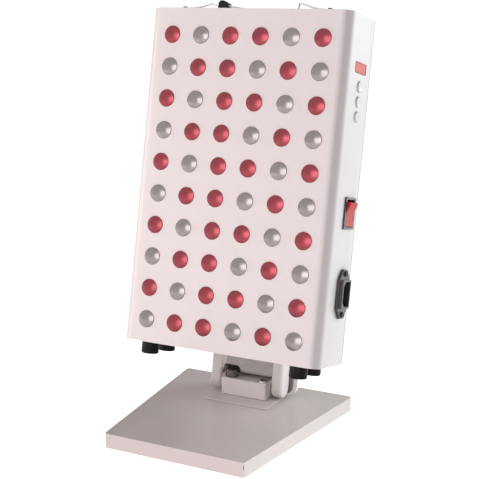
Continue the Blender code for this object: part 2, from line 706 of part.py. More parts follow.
def build_yoke(panel, cover):
    """Two arms on the shaft, the web between them and the flange on the panel's back."""
    yoke = add("yoke", arm_mesh("yoke", -ARM_MIDDLE_X), "cast_paint", panel)
    join(yoke, arm_mesh("yoke_arm", ARM_MIDDLE_X))
    web_corners = [(-WEB_FRONT, ARM_TOP), (-WEB_FRONT, WEB_BOTTOM), (WEB_REAR, WEB_BOTTOM),
                   (WEB_REAR, ARM_TOP)]
    lip = rounded(web_corners, [0, WEB_LIP_RADIUS, 0, 0])
    join(yoke, outline_mesh("yoke_web", lip, 2 * ARM_MIDDLE_X, "YZ"))
    flange_front = COVER_REAR_Y + SEAT_GAP
    join(yoke, box_mesh("yoke_flange", (-FLANGE_HALF_WIDTH, flange_front, FLANGE_FOOT),
                        (FLANGE_HALF_WIDTH, -FLANGE_BACK, FLANGE_FOOT + FLANGE_HEIGHT)))
    blind = SHAFT_HALF_LENGTH + SEAT_GAP
    cut(yoke, rod_mesh("yoke_bore", SHAFT_RADIUS + SHAFT_RUNNING_GAP, (-blind, 0, 0), 2 * blind, "X"))
    opening_depth = WEB_FRONT + WEB_REAR + 2 * OVERRUN
    cut(yoke, outline_mesh("bolt_opening", bolt_opening_outline(), opening_depth, "XZ",
                           (WEB_REAR - WEB_FRONT) / 2))

    nut_front = COVER_INSIDE_Y - SEAT_GAP - NUT_PLATE_THICKNESS
    low = BOTTOM_Z + RETURN_FLANGE + HOUSING_WALL + SEAT_GAP
    nut_plate = add("nut_plate", box_mesh("nut_plate", (-FLANGE_HALF_WIDTH, nut_front, low),
                                          (FLANGE_HALF_WIDTH, nut_front + NUT_PLATE_THICKNESS,
                                           FLANGE_FOOT + FLANGE_HEIGHT)), "steel", panel)
    head_seat = -FLANGE_BACK + SEAT_GAP
    for number, (x, z) in enumerate(flange_screw_places(), start=1):
        length = head_seat - nut_front
        for item in (yoke, cover, nut_plate):
            cut(item, rod_mesh("flange_hole", FLANGE_SCREW_RADIUS + FIT_GAP, (x, nut_front - OVERRUN, z),
                               length + 2 * OVERRUN, "Y", SMALL_SIDES))
        name = "flange_screw_%d" % number
        screw = add(name, rod_mesh(name, FLANGE_SCREW_RADIUS, (x, nut_front, z),
                                   length + FLANGE_SCREW_HEAD / 2, "Y", SMALL_SIDES), "steel", panel)
        join(screw, rod_mesh("flange_screw_head", FLANGE_SCREW_HEAD_RADIUS, (x, head_seat, z),
                             FLANGE_SCREW_HEAD, "Y", SMALL_SIDES))
        if z < ARM_TOP + FLANGE_SCREW_HEAD_RADIUS:
            cut(yoke, rod_mesh("head_pocket", FLANGE_SCREW_HEAD_RADIUS + FIT_GAP, (x, -FLANGE_BACK, z),
                               ARM_RADIUS + FLANGE_BACK + OVERRUN, "Y", SMALL_SIDES))
    return yoke


def build_stop_plate(panel, yoke):
    """A rubber pad and a steel plate that close the yoke's back and stop the tilt."""
    pad_front = ARM_RADIUS + SEAT_GAP
    plate_front = pad_front + STOP_PAD_THICKNESS + SEAT_GAP
    layers = [("stop_pad", STOP_PAD_HALF_WIDTH, STOP_PAD_THICKNESS, pad_front, "rubber"),
              ("stop_plate", STOP_PLATE_HALF_WIDTH, STOP_PLATE_THICKNESS, plate_front, "cast_paint")]
    low = -STOP_PLATE_BOTTOM
    top = STOP_PLATE_TOP
    items = []
    for name, half, thickness, front, look in layers:
        corners = [(-half, top), (-half, low), (half, low), (half, top)]
        line = rounded(corners, [0, STOP_PLATE_CORNER, STOP_PLATE_CORNER, 0], steps=5)
        mesh = outline_mesh(name, line, thickness, "XZ", front + thickness / 2)
        items.append(add(name, mesh, look, panel))
    seat = plate_front + STOP_PLATE_THICKNESS + SEAT_GAP
    for name, x in (("stop_screw_left", -STOP_SCREW_X), ("stop_screw_right", STOP_SCREW_X)):
        start = seat - STOP_SCREW_LENGTH
        for item in (*items, yoke):
            cut(item, rod_mesh("stop_hole", FLANGE_SCREW_RADIUS + FIT_GAP,
                               (x, start - SEAT_GAP, STOP_SCREW_RISE), STOP_SCREW_LENGTH + OVERRUN, "Y",
                               SMALL_SIDES))
        screw = add(name, rod_mesh(name, FLANGE_SCREW_RADIUS, (x, start, STOP_SCREW_RISE),
                                   STOP_SCREW_LENGTH + FLANGE_SCREW_HEAD / 2, "Y", SMALL_SIDES),
                    "steel", panel)
        join(screw, rod_mesh("stop_screw_head", FLANGE_SCREW_HEAD_RADIUS, (x, seat, STOP_SCREW_RISE),
                             FLANGE_SCREW_HEAD, "Y", SMALL_SIDES))


# Housing, cover and lamps

def lamp_places():
    """Centres of the lamps, row by row from the top."""
    left = -COLUMN_PITCH * (COLUMNS - 1) / 2
    first = TOP_Z - TOP_ROW_MARGIN
    return [(left + column * COLUMN_PITCH, first - row * ROW_PITCH)
            for row in range(ROWS) for column in range(COLUMNS)]


def housing_outline(margin):
    """The housing seen from above, drawn in by a wall thickness."""
    half = PANEL_WIDTH / 2 - margin
    front = FACE_Y + margin
    chamfer = EDGE_CHAMFER - margin * (2 - math.sqrt(2))
    rear = HOUSING_REAR_Y - margin
    return [(-half, rear), (-half, front + chamfer), (-half + chamfer, front),
            (half - chamfer, front), (half, front + chamfer), (half, rear)]


def build_housing(panel):
    middle = (TOP_Z + BOTTOM_Z) / 2
    housing = add("housing", outline_mesh("housing", housing_outline(0), PANEL_HEIGHT, "XY", middle),
                  "white_paint", panel)
    cut(housing, outline_mesh("housing_cavity", housing_outline(HOUSING_WALL),
                              PANEL_HEIGHT - 2 * HOUSING_WALL, "XY", middle))
    half = PANEL_WIDTH / 2 - RETURN_FLANGE
    cut(housing, box_mesh("housing_mouth",
                          (-half, HOUSING_REAR_Y - HOUSING_WALL - OVERRUN, BOTTOM_Z + RETURN_FLANGE),
                          (half, HOUSING_REAR_Y + OVERRUN, TOP_Z - RETURN_FLANGE)))
    holes = bmesh.new()
    for x, z in lamp_places():
        rod_into(holes, LENS_HOLE_RADIUS, (x, FACE_Y - OVERRUN, z), HOUSING_WALL + 2 * OVERRUN, "Y",
                 LENS_SIDES)
    hole_mesh = mesh_from(holes, "lens_holes")
    smooth(hole_mesh)
    cut(housing, hole_mesh)
    return housing


def ring_slot(shape, inner, outer, start_angle, end_angle, centre_z):
    """Adds one curved slot of the fan grille to a bmesh, running through the cover."""
    steps = 4
    front = COVER_INSIDE_Y - OVERRUN
    depth = COVER_SHEET + 2 * OVERRUN
    rims = []
    for step in range(steps + 1):
        angle = start_angle + (end_angle - start_angle) * step / steps
        for radius in (inner, outer):
            spot = (radius * math.cos(angle), front, centre_z + radius * math.sin(angle))
            rims.append(shape.verts.new(spot))
    faces = []
    for step in range(steps):
        corner = 2 * step
        faces.append(shape.faces.new((rims[corner], rims[corner + 1], rims[corner + 3], rims[corner + 2])))
    grown = bmesh.ops.extrude_face_region(shape, geom=faces)
    moved = [item for item in grown["geom"] if isinstance(item, bmesh.types.BMVert)]
    bmesh.ops.translate(shape, vec=(0, depth, 0), verts=moved)


def cover_screw_places():
    x = PANEL_WIDTH / 2 - COVER_SCREW_INSET
    low = BOTTOM_Z + COVER_SCREW_INSET
    high = TOP_Z - COVER_SCREW_INSET
    return [(-x, low), (x, low), (-x, high), (x, high)]


def build_cover(panel, housing):
    """A shallow pan that closes the back, with two punched fan grilles."""
    half = PANEL_WIDTH / 2
    cover = add("rear_cover", box_mesh("rear_cover", (-half, COVER_FRONT_Y, BOTTOM_Z),
                                       (half, COVER_REAR_Y, TOP_Z)), "side_paint", panel)
    round_edges(cover, COVER_EDGE_RADIUS, 2, lambda a, b: min(a.y, b.y) > COVER_INSIDE_Y)
    rim = RETURN_FLANGE + HOUSING_WALL
    cut(cover, box_mesh("cover_hollow", (-half + rim, COVER_FRONT_Y - OVERRUN, BOTTOM_Z + rim),
                        (half - rim, COVER_INSIDE_Y, TOP_Z - rim)))
    slots = bmesh.new()
    quarter = math.pi / 2
    for centre_z in FAN_CENTRES_Z:
        for ring in range(GRILLE_RINGS):
            outer = FAN_BORE_RADIUS - ring * GRILLE_PITCH
            inner = outer - GRILLE_SLOT
            spoke = GRILLE_SPOKE / 2 / inner
            for turn in range(4):
                start = turn * quarter + quarter / 2
                ring_slot(slots, inner, outer, start + spoke, start + quarter - spoke, centre_z)
    bmesh.ops.recalc_face_normals(slots, faces=slots.faces)
    cut(cover, mesh_from(slots, "grille_slots"))

    for number, (x, z) in enumerate(cover_screw_places(), start=1):
        start = HOUSING_REAR_Y - HOUSING_WALL - OVERRUN
        reach = COVER_REAR_Y + SEAT_GAP - start
        for item in (housing, cover):
            cut(item, rod_mesh("cover_hole", INLET_SCREW_RADIUS + FIT_GAP, (x, start - SEAT_GAP, z),
                               reach + OVERRUN, "Y", SMALL_SIDES))
        name = "cover_screw_%d" % number
        screw = add(name, rod_mesh(name, INLET_SCREW_RADIUS, (x, start, z), reach + INLET_SCREW_HEAD / 2,
                                   "Y", SMALL_SIDES), "steel", panel)
        join(screw, rod_mesh("cover_screw_head", INLET_SCREW_HEAD_RADIUS, (x, COVER_REAR_Y + SEAT_GAP, z),
                             INLET_SCREW_HEAD, "Y", SMALL_SIDES))
    return cover


def build_lamps(panel):
    """Lens carrier with its domes, the lamp board behind it and the heat sink."""
    carrier_front = FACE_Y + HOUSING_WALL + SEAT_GAP
    carrier_rear = carrier_front + LENS_CARRIER_THICKNESS
    half = PANEL_WIDTH / 2 - LENS_CARRIER_MARGIN
    low = (-half, carrier_front, BOTTOM_Z + LENS_CARRIER_MARGIN / 2)
    high = (half, carrier_rear, TOP_Z - LENS_CARRIER_MARGIN / 2)
    lenses = add("lens_array", box_mesh("lens_array", low, high), "lens", panel)
    radius = LENS_HOLE_RADIUS - FIT_GAP
    shoulder = FACE_Y - LENS_DOME_RISE * 2 / 5
    tip = FACE_Y - LENS_DOME_RISE
    domes = bmesh.new()
    for x, z in lamp_places():
        dome_into(domes, x, z, radius, carrier_front + LENS_CARRIER_THICKNESS / 2, shoulder, tip)
    dome_mesh = mesh_from(domes, "lens_domes")
    smooth(dome_mesh)
    join(lenses, dome_mesh)

    board_front = carrier_rear + SEAT_GAP
    board_rear = board_front + LED_BOARD_THICKNESS
    board_half = PANEL_WIDTH / 2 - LED_BOARD_MARGIN
    add("led_board", box_mesh("led_board", (-board_half, board_front, BOTTOM_Z + LED_BOARD_MARGIN),
                              (board_half, board_rear, TOP_Z - LED_BOARD_MARGIN)), "board_white", panel)
    sink_front = board_rear + SEAT_GAP
    add("heat_sink", outline_mesh("heat_sink", sink_outline(sink_front), SINK_HEIGHT, "XY",
                                  (TOP_Z + BOTTOM_Z) / 2), "aluminium", panel)


def dome_into(shape, x, z, radius, root, shoulder, tip):
    """Adds one closed lens dome to a bmesh, from its root in the carrier to its tip."""
    rise = shoulder - tip
    stations = [(radius, root), (radius, shoulder),
                (radius * math.cos(math.pi / 5), shoulder - rise * 3 / 5)]
    rings = []
    for reach, y in stations:
        rings.append([shape.verts.new((x + reach * math.sin(2 * math.pi * side / LENS_SIDES), y,
                                       z + reach * math.cos(2 * math.pi * side / LENS_SIDES)))
                      for side in range(LENS_SIDES)])
    point = shape.verts.new((x, tip, z))
    faces = [shape.faces.new(rings[0])]
    for first, second in zip(rings, rings[1:]):
        for side in range(LENS_SIDES):
            after = (side + 1) % LENS_SIDES
            faces.append(shape.faces.new((first[side], first[after], second[after], second[side])))
    for side in range(LENS_SIDES):
        faces.append(shape.faces.new((rings[-1][side], rings[-1][(side + 1) % LENS_SIDES], point)))
    bmesh.ops.recalc_face_normals(shape, faces=faces)


def sink_outline(front):
    """A comb: a flat base towards the lamps and fins towards the fans."""
    half = SINK_WIDTH / 2
    base_rear = front + SINK_BASE
    fin_rear = base_rear + SINK_FIN_HEIGHT
    count = int(SINK_WIDTH // SINK_FIN_PITCH)
    points = [(-half, front), (half, front), (half, base_rear)]
    first = (count - 1) / 2 * SINK_FIN_PITCH
    for fin in range(count):
        middle = first - fin * SINK_FIN_PITCH
        right = middle + SINK_FIN_THICKNESS / 2
        left = middle - SINK_FIN_THICKNESS / 2
        points += [(right, base_rear), (right, fin_rear), (left, fin_rear), (left, base_rear)]
    points.append((-half, base_rear))
    return points


# Fans and driver

def build_fan(panel, number, centre_z):
    """A square fan frame on the cover, and its rotor on its own axis frame."""
    rear = COVER_INSIDE_Y - SEAT_GAP
    front = rear - FAN_DEPTH
    half = FAN_SIZE / 2
    name = "fan_frame_%d" % number
    frame = add(name, box_mesh(name, (-half, front, centre_z - half), (half, rear, centre_z + half)),
                "black_plastic", panel)
    cut(frame, rod_mesh("fan_bore", FAN_BORE_RADIUS, (0, front - OVERRUN, centre_z),
                        FAN_DEPTH + 2 * OVERRUN, "Y", 2 * ROUND_SIDES))
    plate_front = rear - FAN_HUB_PLATE
    join(frame, rod_mesh("fan_hub_plate", FAN_HUB_RADIUS, (0, plate_front, centre_z), FAN_HUB_PLATE, "Y"))
    reach = (FAN_BORE_RADIUS + half) / 2
    for turn in (math.pi / 4, 3 * math.pi / 4):
        strut = box_mesh("fan_strut", (-reach, plate_front + FAN_HUB_PLATE / 4, -FAN_STRUT / 2),
                         (reach, rear - FAN_HUB_PLATE / 4, FAN_STRUT / 2))
        strut.transform(Matrix.Translation((0, 0, centre_z)) @ Matrix.Rotation(turn, 4, "Y"))
        join(frame, strut)

    axis = empty("fan_axis_%d" % number, panel, (0, 0, centre_z))
    name = "fan_rotor_%d" % number
    hub_front = front + FAN_HUB_PLATE / 2
    hub_length = plate_front - 2 * SEAT_GAP - hub_front
    rotor = add(name, rod_mesh(name, FAN_HUB_RADIUS, (0, hub_front, 0), hub_length, "Y"),
                "black_plastic", axis)
    root = FAN_HUB_RADIUS * BLADE_ROOT_SHARE
    blade_length = FAN_BORE_RADIUS - ROTOR_TIP_CLEARANCE - root
    blades = bmesh.new()
    for blade in range(ROTOR_BLADES):
        made = bmesh.ops.create_cube(blades, size=1.0)
        place = (Matrix.Rotation(2 * math.pi * blade / ROTOR_BLADES, 4, "Y")
                 @ Matrix.Translation((0, hub_front + hub_length / 2, root + blade_length / 2))
                 @ Matrix.Rotation(BLADE_PITCH, 4, "Z")
                 @ Matrix.Diagonal((BLADE_CHORD, BLADE_THICKNESS, blade_length, 1)))
        bmesh.ops.transform(blades, matrix=place, verts=made["verts"])
    join(rotor, mesh_from(blades, "rotor_blades"))


def build_driver(panel):
    rear = COVER_INSIDE_Y - SEAT_GAP
    low = (TOP_Z + BOTTOM_Z - DRIVER_HEIGHT) / 2
    near = (DRIVER_CENTRE_X - DRIVER_WIDTH / 2, rear - DRIVER_DEPTH, low)
    far = (DRIVER_CENTRE_X + DRIVER_WIDTH / 2, rear, low + DRIVER_HEIGHT)
    driver = add("led_driver", box_mesh("led_driver", near, far), "aluminium", panel)
    round_edges(driver, FRONT_EDGE_RADIUS, 1, lambda a, b: True)


# Controls

def side_box(name, depth, z, length, height, inner_x, outer_x):
    """A box on the panel's side, centred at a depth behind the face and a height."""
    y = FACE_Y + depth
    return box_mesh(name, (inner_x, y - length / 2, z - height / 2),
                    (outer_x, y + length / 2, z + height / 2))


def button_heights():
    first = TOP_Z - BUTTONS_BELOW_TOP
    return [first - number * BUTTON_PITCH for number in range(BUTTON_COUNT)]


def build_display(panel, housing):
    z = TOP_Z - DISPLAY_BELOW_TOP
    depth = CONTROL_LINE_DEPTH
    cut(housing, side_box("display_cut", depth, z, DISPLAY_LENGTH, DISPLAY_HEIGHT,
                          WALL_INSIDE_X - OVERRUN, SIDE_X + OVERRUN))
    module_outer = WALL_INSIDE_X - SEAT_GAP
    window_inner = module_outer + SEAT_GAP
    add("display_window", side_box("display_window", depth, z, DISPLAY_LENGTH - 2 * SEAT_GAP,
                                   DISPLAY_HEIGHT - 2 * SEAT_GAP, window_inner,
                                   window_inner + DISPLAY_WINDOW_THICKNESS), "display_red", panel)
    module_inner = module_outer - DISPLAY_MODULE_DEPTH
    add("display_module", side_box("display_module", depth, z, DISPLAY_LENGTH + 2 * DISPLAY_MODULE_RIM,
                                   DISPLAY_HEIGHT + 2 * DISPLAY_MODULE_RIM, module_inner, module_outer),
        "black_plastic", panel)
    return module_inner - SEAT_GAP


def build_control_board(panel, board_outer):
    board_inner = board_outer - CONTROL_BOARD_THICKNESS
    top = TOP_Z - DISPLAY_BELOW_TOP + DISPLAY_HEIGHT
    z = top - CONTROL_BOARD_HEIGHT / 2
    board = add("control_board", side_box("control_board", CONTROL_LINE_DEPTH, z, CONTROL_BOARD_LENGTH,
                                          CONTROL_BOARD_HEIGHT, board_inner, board_outer),
                "board_green", panel)
    for height in button_heights():
        join(board, side_box("push_switch", CONTROL_LINE_DEPTH, height, SWITCH_BOX, SWITCH_BOX,
                             board_inner + CONTROL_BOARD_THICKNESS / 2, board_outer + SWITCH_RISE))
    y = FACE_Y + CONTROL_LINE_DEPTH
    foot = z - CONTROL_BOARD_HEIGHT / 2 + CONTROL_POST_INSET
    reach = CONTROL_BOARD_LENGTH / 2 - CONTROL_POST_INSET
    for side in (-reach, reach):
        start = board_outer - CONTROL_BOARD_THICKNESS / 2
        join(board, rod_mesh("board_post", CONTROL_POST_RADIUS, (start, y + side, foot),
                             WALL_INSIDE_X - SEAT_GAP - start, "X", SMALL_SIDES))


def build_buttons(panel, housing):
    y = FACE_Y + CONTROL_LINE_DEPTH
    flange_outer = WALL_INSIDE_X - SEAT_GAP
    flange_inner = flange_outer - BUTTON_FLANGE
    cap_outer = SIDE_X + BUTTON_RISE
    edge = BUTTON_RISE / 3
    stem_inner = flange_inner - 2 * BUTTON_TRAVEL
    profile = [(0, stem_inner), (BUTTON_STEM_RADIUS, stem_inner), (BUTTON_STEM_RADIUS, flange_inner),
               (BUTTON_FLANGE_RADIUS, flange_inner), (BUTTON_FLANGE_RADIUS, flange_outer),
               (BUTTON_RADIUS, flange_outer), (BUTTON_RADIUS, cap_outer - edge),
               (BUTTON_RADIUS - edge, cap_outer), (0, cap_outer)]
    mesh = turned_mesh("push_button", profile, "X")
    for number, z in enumerate(button_heights(), start=1):
        cut(housing, rod_mesh("button_hole", BUTTON_RADIUS + FIT_GAP, (WALL_INSIDE_X - OVERRUN, y, z),
                              HOUSING_WALL + 2 * OVERRUN, "X"))
        add("push_button_%d" % number, mesh, "button_plastic", panel, (0, y, z))


def lever_outline():
    """The rocker seen from its end, in its middle position, about its own axis."""
    half = ROCKER_LEVER_LENGTH / 2
    end = ROCKER_LEVER_END_RISE + ROCKER_AXIS_SINK
    waist = ROCKER_LEVER_WAIST_RISE + ROCKER_AXIS_SINK
    heel = -ROCKER_AXIS_SINK
    return rounded([(end, half), (waist, 0), (end, -half), (-ROCKER_PIN_RADIUS, -half), (heel, -half / 2),
                    (heel, half / 2), (-ROCKER_PIN_RADIUS, half)],
                   [ROCKER_LEVER_WAIST_RISE, 2 * half, ROCKER_LEVER_WAIST_RISE, 0, 0, 0, 0], steps=3)


def build_rocker(panel, housing):
    z = BOTTOM_Z + ROCKER_ABOVE_BOTTOM
    depth = ROCKER_LINE_DEPTH
    inner = SIDE_X - ROCKER_BODY_DEPTH
    body = add("rocker_body", side_box("rocker_body", depth, z, ROCKER_BODY_WIDTH, ROCKER_BODY_LENGTH, inner,
                                       SIDE_X + ROCKER_BEZEL_RISE / 2), "black_plastic", panel)
    join(body, side_box("rocker_bezel", depth, z, ROCKER_BEZEL_WIDTH, ROCKER_BEZEL_LENGTH, SIDE_X + SEAT_GAP,
                        SIDE_X + ROCKER_BEZEL_RISE))
    cut(housing, side_box("rocker_cut", depth, z, ROCKER_BODY_WIDTH + 2 * FIT_GAP,
                          ROCKER_BODY_LENGTH + 2 * FIT_GAP, WALL_INSIDE_X - OVERRUN, SIDE_X + OVERRUN))
    cut(body, side_box("rocker_well", depth, z, ROCKER_WELL_WIDTH, ROCKER_WELL_LENGTH,
                       SIDE_X - ROCKER_WELL_DEPTH, SIDE_X + ROCKER_BEZEL_RISE + OVERRUN))
    axis_x = SIDE_X - ROCKER_AXIS_SINK
    axis_y = FACE_Y + depth
    pin_half = (ROCKER_WELL_WIDTH + ROCKER_BODY_WIDTH) / 4
    blind = pin_half + SEAT_GAP
    cut(body, rod_mesh("rocker_pin_holes", ROCKER_PIN_RADIUS + SEAT_GAP, (axis_x, axis_y - blind, z),
                       2 * blind, "Y", SMALL_SIDES))
    axis = empty("rocker_axis", panel, (axis_x, axis_y, z), (0, ROCKER_SWING, 0))
    lever = add("rocker_lever", lever_mesh(), "red_plastic", axis)
    join(lever, rod_mesh("rocker_pin", ROCKER_PIN_RADIUS, (0, -pin_half, 0), 2 * pin_half, "Y", SMALL_SIDES))


def lever_mesh():
    width = ROCKER_WELL_WIDTH - 2 * SEAT_GAP
    return outline_mesh("rocker_lever", lever_outline(), width, "XZ")


def inlet_flange_outline():
    """The flange's long hexagon with blunt tips, depth first and height second."""
    y = FACE_Y + INLET_LINE_DEPTH
    z = BOTTOM_Z + INLET_ABOVE_BOTTOM
    half = INLET_FLANGE_LENGTH / 2
    straight = INLET_STRAIGHT_LENGTH / 2
    wide = INLET_FLANGE_WIDTH / 2
    tip = INLET_TIP_WIDTH / 2
    corners = [(-tip, -half), (tip, -half), (wide, -straight), (wide, straight), (tip, half), (-tip, half),
               (-wide, straight), (-wide, -straight)]
    return [(y + across, z + along) for across, along in corners]


def socket_outline():
    """The plug's opening: a box with two corners cut off on its earth side."""
    y = FACE_Y + INLET_LINE_DEPTH
    z = BOTTOM_Z + INLET_ABOVE_BOTTOM
    wide = INLET_SOCKET_WIDTH / 2
    half = INLET_SOCKET_LENGTH / 2
    corner = INLET_SOCKET_CUT
    corners = [(-wide, -half + corner), (-wide + corner, -half), (wide, -half), (wide, half),
               (-wide + corner, half), (-wide, half - corner)]
    return [(y + across, z + along) for across, along in corners]


def build_inlet(panel, housing):
    z = BOTTOM_Z + INLET_ABOVE_BOTTOM
    y = FACE_Y + INLET_LINE_DEPTH
    depth = INLET_LINE_DEPTH
    flange_inner = SIDE_X + SEAT_GAP
    body = add("inlet_body", outline_mesh("inlet_body", inlet_flange_outline(), INLET_FLANGE_THICKNESS,
                                          "YZ", flange_inner + INLET_FLANGE_THICKNESS / 2),
               "grey_plastic", panel)
    inner = SIDE_X - INLET_BODY_DEPTH
    collar_outer = SIDE_X + INLET_COLLAR_RISE
    join(body, side_box("inlet_collar", depth, z, INLET_COLLAR_WIDTH, INLET_COLLAR_LENGTH, inner,
                        collar_outer))
    cut(housing, side_box("inlet_cut", depth, z, INLET_COLLAR_WIDTH + 2 * FIT_GAP,
                          INLET_COLLAR_LENGTH + 2 * FIT_GAP, WALL_INSIDE_X - OVERRUN, SIDE_X + OVERRUN))
    socket_inner = collar_outer - INLET_SOCKET_DEPTH
    length = INLET_SOCKET_DEPTH + OVERRUN
    cut(body, outline_mesh("inlet_socket", socket_outline(), length, "YZ", socket_inner + length / 2))
    floor_thickness = socket_inner - inner
    for number, place in enumerate((-1, 0, 1), start=1):
        across = y - INLET_PIN_OFFSET if place == 0 else y + INLET_PIN_OFFSET
        along = z + place * INLET_PIN_PITCH
        low = (inner + floor_thickness / 2, across - INLET_PIN_WIDTH / 2, along - INLET_PIN_THICKNESS / 2)
        high = (socket_inner + INLET_PIN_LENGTH, across + INLET_PIN_WIDTH / 2,
                along + INLET_PIN_THICKNESS / 2)
        gap = Vector((SEAT_GAP, SEAT_GAP, SEAT_GAP))
        cut(body, box_mesh("pin_hole", Vector(low) - gap, Vector(high) + gap))
        name = "inlet_pin_%d" % number
        add(name, box_mesh(name, low, high), "brass", panel)
    for name, side in (("inlet_screw_low", -1), ("inlet_screw_high", 1)):
        height = z + side * INLET_SCREW_PITCH / 2
        seat = flange_inner + INLET_FLANGE_THICKNESS + SEAT_GAP
        start = seat - INLET_SCREW_LENGTH
        for item in (housing, body):
            cut(item, rod_mesh("inlet_hole", INLET_SCREW_RADIUS + FIT_GAP, (start - OVERRUN, y, height),
                               INLET_SCREW_LENGTH + 2 * OVERRUN, "X", SMALL_SIDES))
        screw = add(name, rod_mesh(name, INLET_SCREW_RADIUS, (start, y, height),
                                   INLET_SCREW_LENGTH + INLET_SCREW_HEAD / 2, "X", SMALL_SIDES),
                    "steel", panel)
        join(screw, rod_mesh("inlet_screw_head", INLET_SCREW_HEAD_RADIUS, (seat, y, height),
                             INLET_SCREW_HEAD, "X", SMALL_SIDES, end_radius=INLET_SCREW_HEAD_RADIUS * 2 / 3))


# Feet and hanging wire

def build_feet(panel, housing):
    top = BOTTOM_Z - SEAT_GAP
    bottom = top - FOOT_HEIGHT
    stem_top = top + FOOT_STEM_LENGTH
    profile = [(0, bottom), (FOOT_RADIUS - FOOT_EDGE_RADIUS, bottom),
               (FOOT_RADIUS - FOOT_EDGE_RADIUS / 3, bottom + FOOT_EDGE_RADIUS / 3),
               (FOOT_RADIUS, bottom + FOOT_EDGE_RADIUS), (FOOT_RADIUS, top), (FOOT_STEM_RADIUS, top),
               (FOOT_STEM_RADIUS, stem_top), (0, stem_top)]
    mesh = turned_mesh("bumper_foot", profile, "Z")
    number = 0
    for depth in (FOOT_FRONT_DEPTH, FOOT_REAR_DEPTH):
        for x in (-FOOT_FROM_CENTRE, FOOT_FROM_CENTRE):
            number += 1
            cut(housing, rod_mesh("foot_hole", FOOT_STEM_RADIUS + SEAT_GAP,
                                  (x, FACE_Y + depth, BOTTOM_Z - OVERRUN), HOUSING_WALL + 2 * OVERRUN, "Z",
                                  SMALL_SIDES))
            add("bumper_foot_%d" % number, mesh, "rubber", panel, (x, FACE_Y + depth, 0))


def wire_route():
    """Points of the hanging wire from eye to eye: across, behind the face, above the top."""
    eye = WIRE_EYE_FROM_CENTRE - WIRE_EYE_RADIUS - WIRE_RADIUS - SEAT_GAP
    low = WIRE_RADIUS + SEAT_GAP
    crest = WIRE_CREST_RISE
    start = WIRE_EYE_RISE * 3 / 5
    grip_in = GRIPPER_CENTRE_X - GRIPPER_LENGTH / 2
    grip_out = GRIPPER_CENTRE_X + GRIPPER_LENGTH / 2
    bore = GRIPPER_BORE_HEIGHT
    far = WIRE_REST_DEPTH
    near = GRIPPER_DEPTH
    back = WIRE_EYE_DEPTH
    return [(-eye, back, start), (-eye * 4 / 5, back, start * 5 / 3),
            (grip_in * 5 / 4, near, crest * 4 / 5),
            (grip_in, near, bore), (grip_out, near, bore), (grip_out / 2, near * 3 / 2, bore * 3 / 4),
            (0, far * 3 / 4, low * 3 / 2), (eye / 4, far, low), (eye / 2, far * 3 / 4, low * 2),
            (eye * 5 / 8, back, crest * 7 / 8), (eye * 2 / 3, near, crest),
            (eye * 5 / 6, back, start * 5 / 3), (eye, back, start)]


def smooth_line(points, steps):
    """A smooth line through a route's points, as even steps between them."""
    result = []
    last = len(points) - 1
    for index in range(last):
        before = Vector(points[max(index - 1, 0)])
        start = Vector(points[index])
        end = Vector(points[index + 1])
        after = Vector(points[min(index + 2, last)])
        for step in range(steps):
            share = step / steps
            pull = (2 * start + (end - before) * share
                    + (2 * before - 5 * start + 4 * end - after) * share ** 2
                    + (3 * start - before - 3 * end + after) * share ** 3)
            result.append(pull / 2)
    result.append(Vector(points[last]))
    return result


def build_hanger(panel, housing):
    origin = Vector((0, FACE_Y, TOP_Z))
    curve = bpy.data.curves.new("hanging_wire", "CURVE")
    curve.dimensions = "3D"
    curve.bevel_depth = WIRE_RADIUS
    curve.bevel_resolution = 1
    curve.use_fill_caps = True
    spots = smooth_line(wire_route(), 3)
    line = curve.splines.new("POLY")
    line.points.add(len(spots) - 1)
    for spot, place in zip(line.points, spots):
        spot.co = (*(place + origin), 1)
    source = bpy.data.objects.new("hanging_wire", curve)
    PARTS.objects.link(source)
    wire = add("hanging_wire", evaluated_mesh(source, "hanging_wire"), "steel", panel)
    smooth(wire.data)

    low_y = FACE_Y + GRIPPER_DEPTH - GRIPPER_WIDTH / 2
    base = TOP_Z + SEAT_GAP
    left = GRIPPER_CENTRE_X - GRIPPER_LENGTH / 2
    right = GRIPPER_CENTRE_X + GRIPPER_LENGTH / 2
    shape = [(left, base), (right, base), (right, base + GRIPPER_TAIL_HEIGHT),
             (GRIPPER_CENTRE_X, base + GRIPPER_HEIGHT), (left + GRIPPER_LENGTH / 5, base + GRIPPER_HEIGHT),
             (left, base + GRIPPER_HEIGHT * 3 / 4)]
    gripper = add("wire_gripper", outline_mesh("wire_gripper", shape, GRIPPER_WIDTH, "XZ",
                                               low_y + GRIPPER_WIDTH / 2), "black_plastic", panel)
    bore_start = (left - OVERRUN, FACE_Y + GRIPPER_DEPTH, TOP_Z + GRIPPER_BORE_HEIGHT)
    cut(gripper, rod_mesh("gripper_bore", 2 * WIRE_RADIUS, bore_start, GRIPPER_LENGTH + 2 * OVERRUN, "X",
                          SMALL_SIDES))
    stem_bottom = TOP_Z - WIRE_EYE_STEM_LENGTH
    profile = [(0, stem_bottom), (WIRE_EYE_STEM_RADIUS, stem_bottom), (WIRE_EYE_STEM_RADIUS, base),
               (WIRE_EYE_RADIUS, base), (WIRE_EYE_RADIUS, TOP_Z + WIRE_EYE_RISE), (0, TOP_Z + WIRE_EYE_RISE)]
    mesh = turned_mesh("wire_eye", profile, "Z", SMALL_SIDES)
    for name, x in (("wire_eye_left", -WIRE_EYE_FROM_CENTRE), ("wire_eye_right", WIRE_EYE_FROM_CENTRE)):
        place = (x, FACE_Y + WIRE_EYE_DEPTH, 0)
        cut(housing, rod_mesh("eye_hole", WIRE_EYE_STEM_RADIUS + SEAT_GAP,
                              (place[0], place[1], TOP_Z - HOUSING_WALL - OVERRUN),
                              HOUSING_WALL + 2 * OVERRUN, "Z", SMALL_SIDES))
        add(name, mesh, "dark_steel", panel, place)


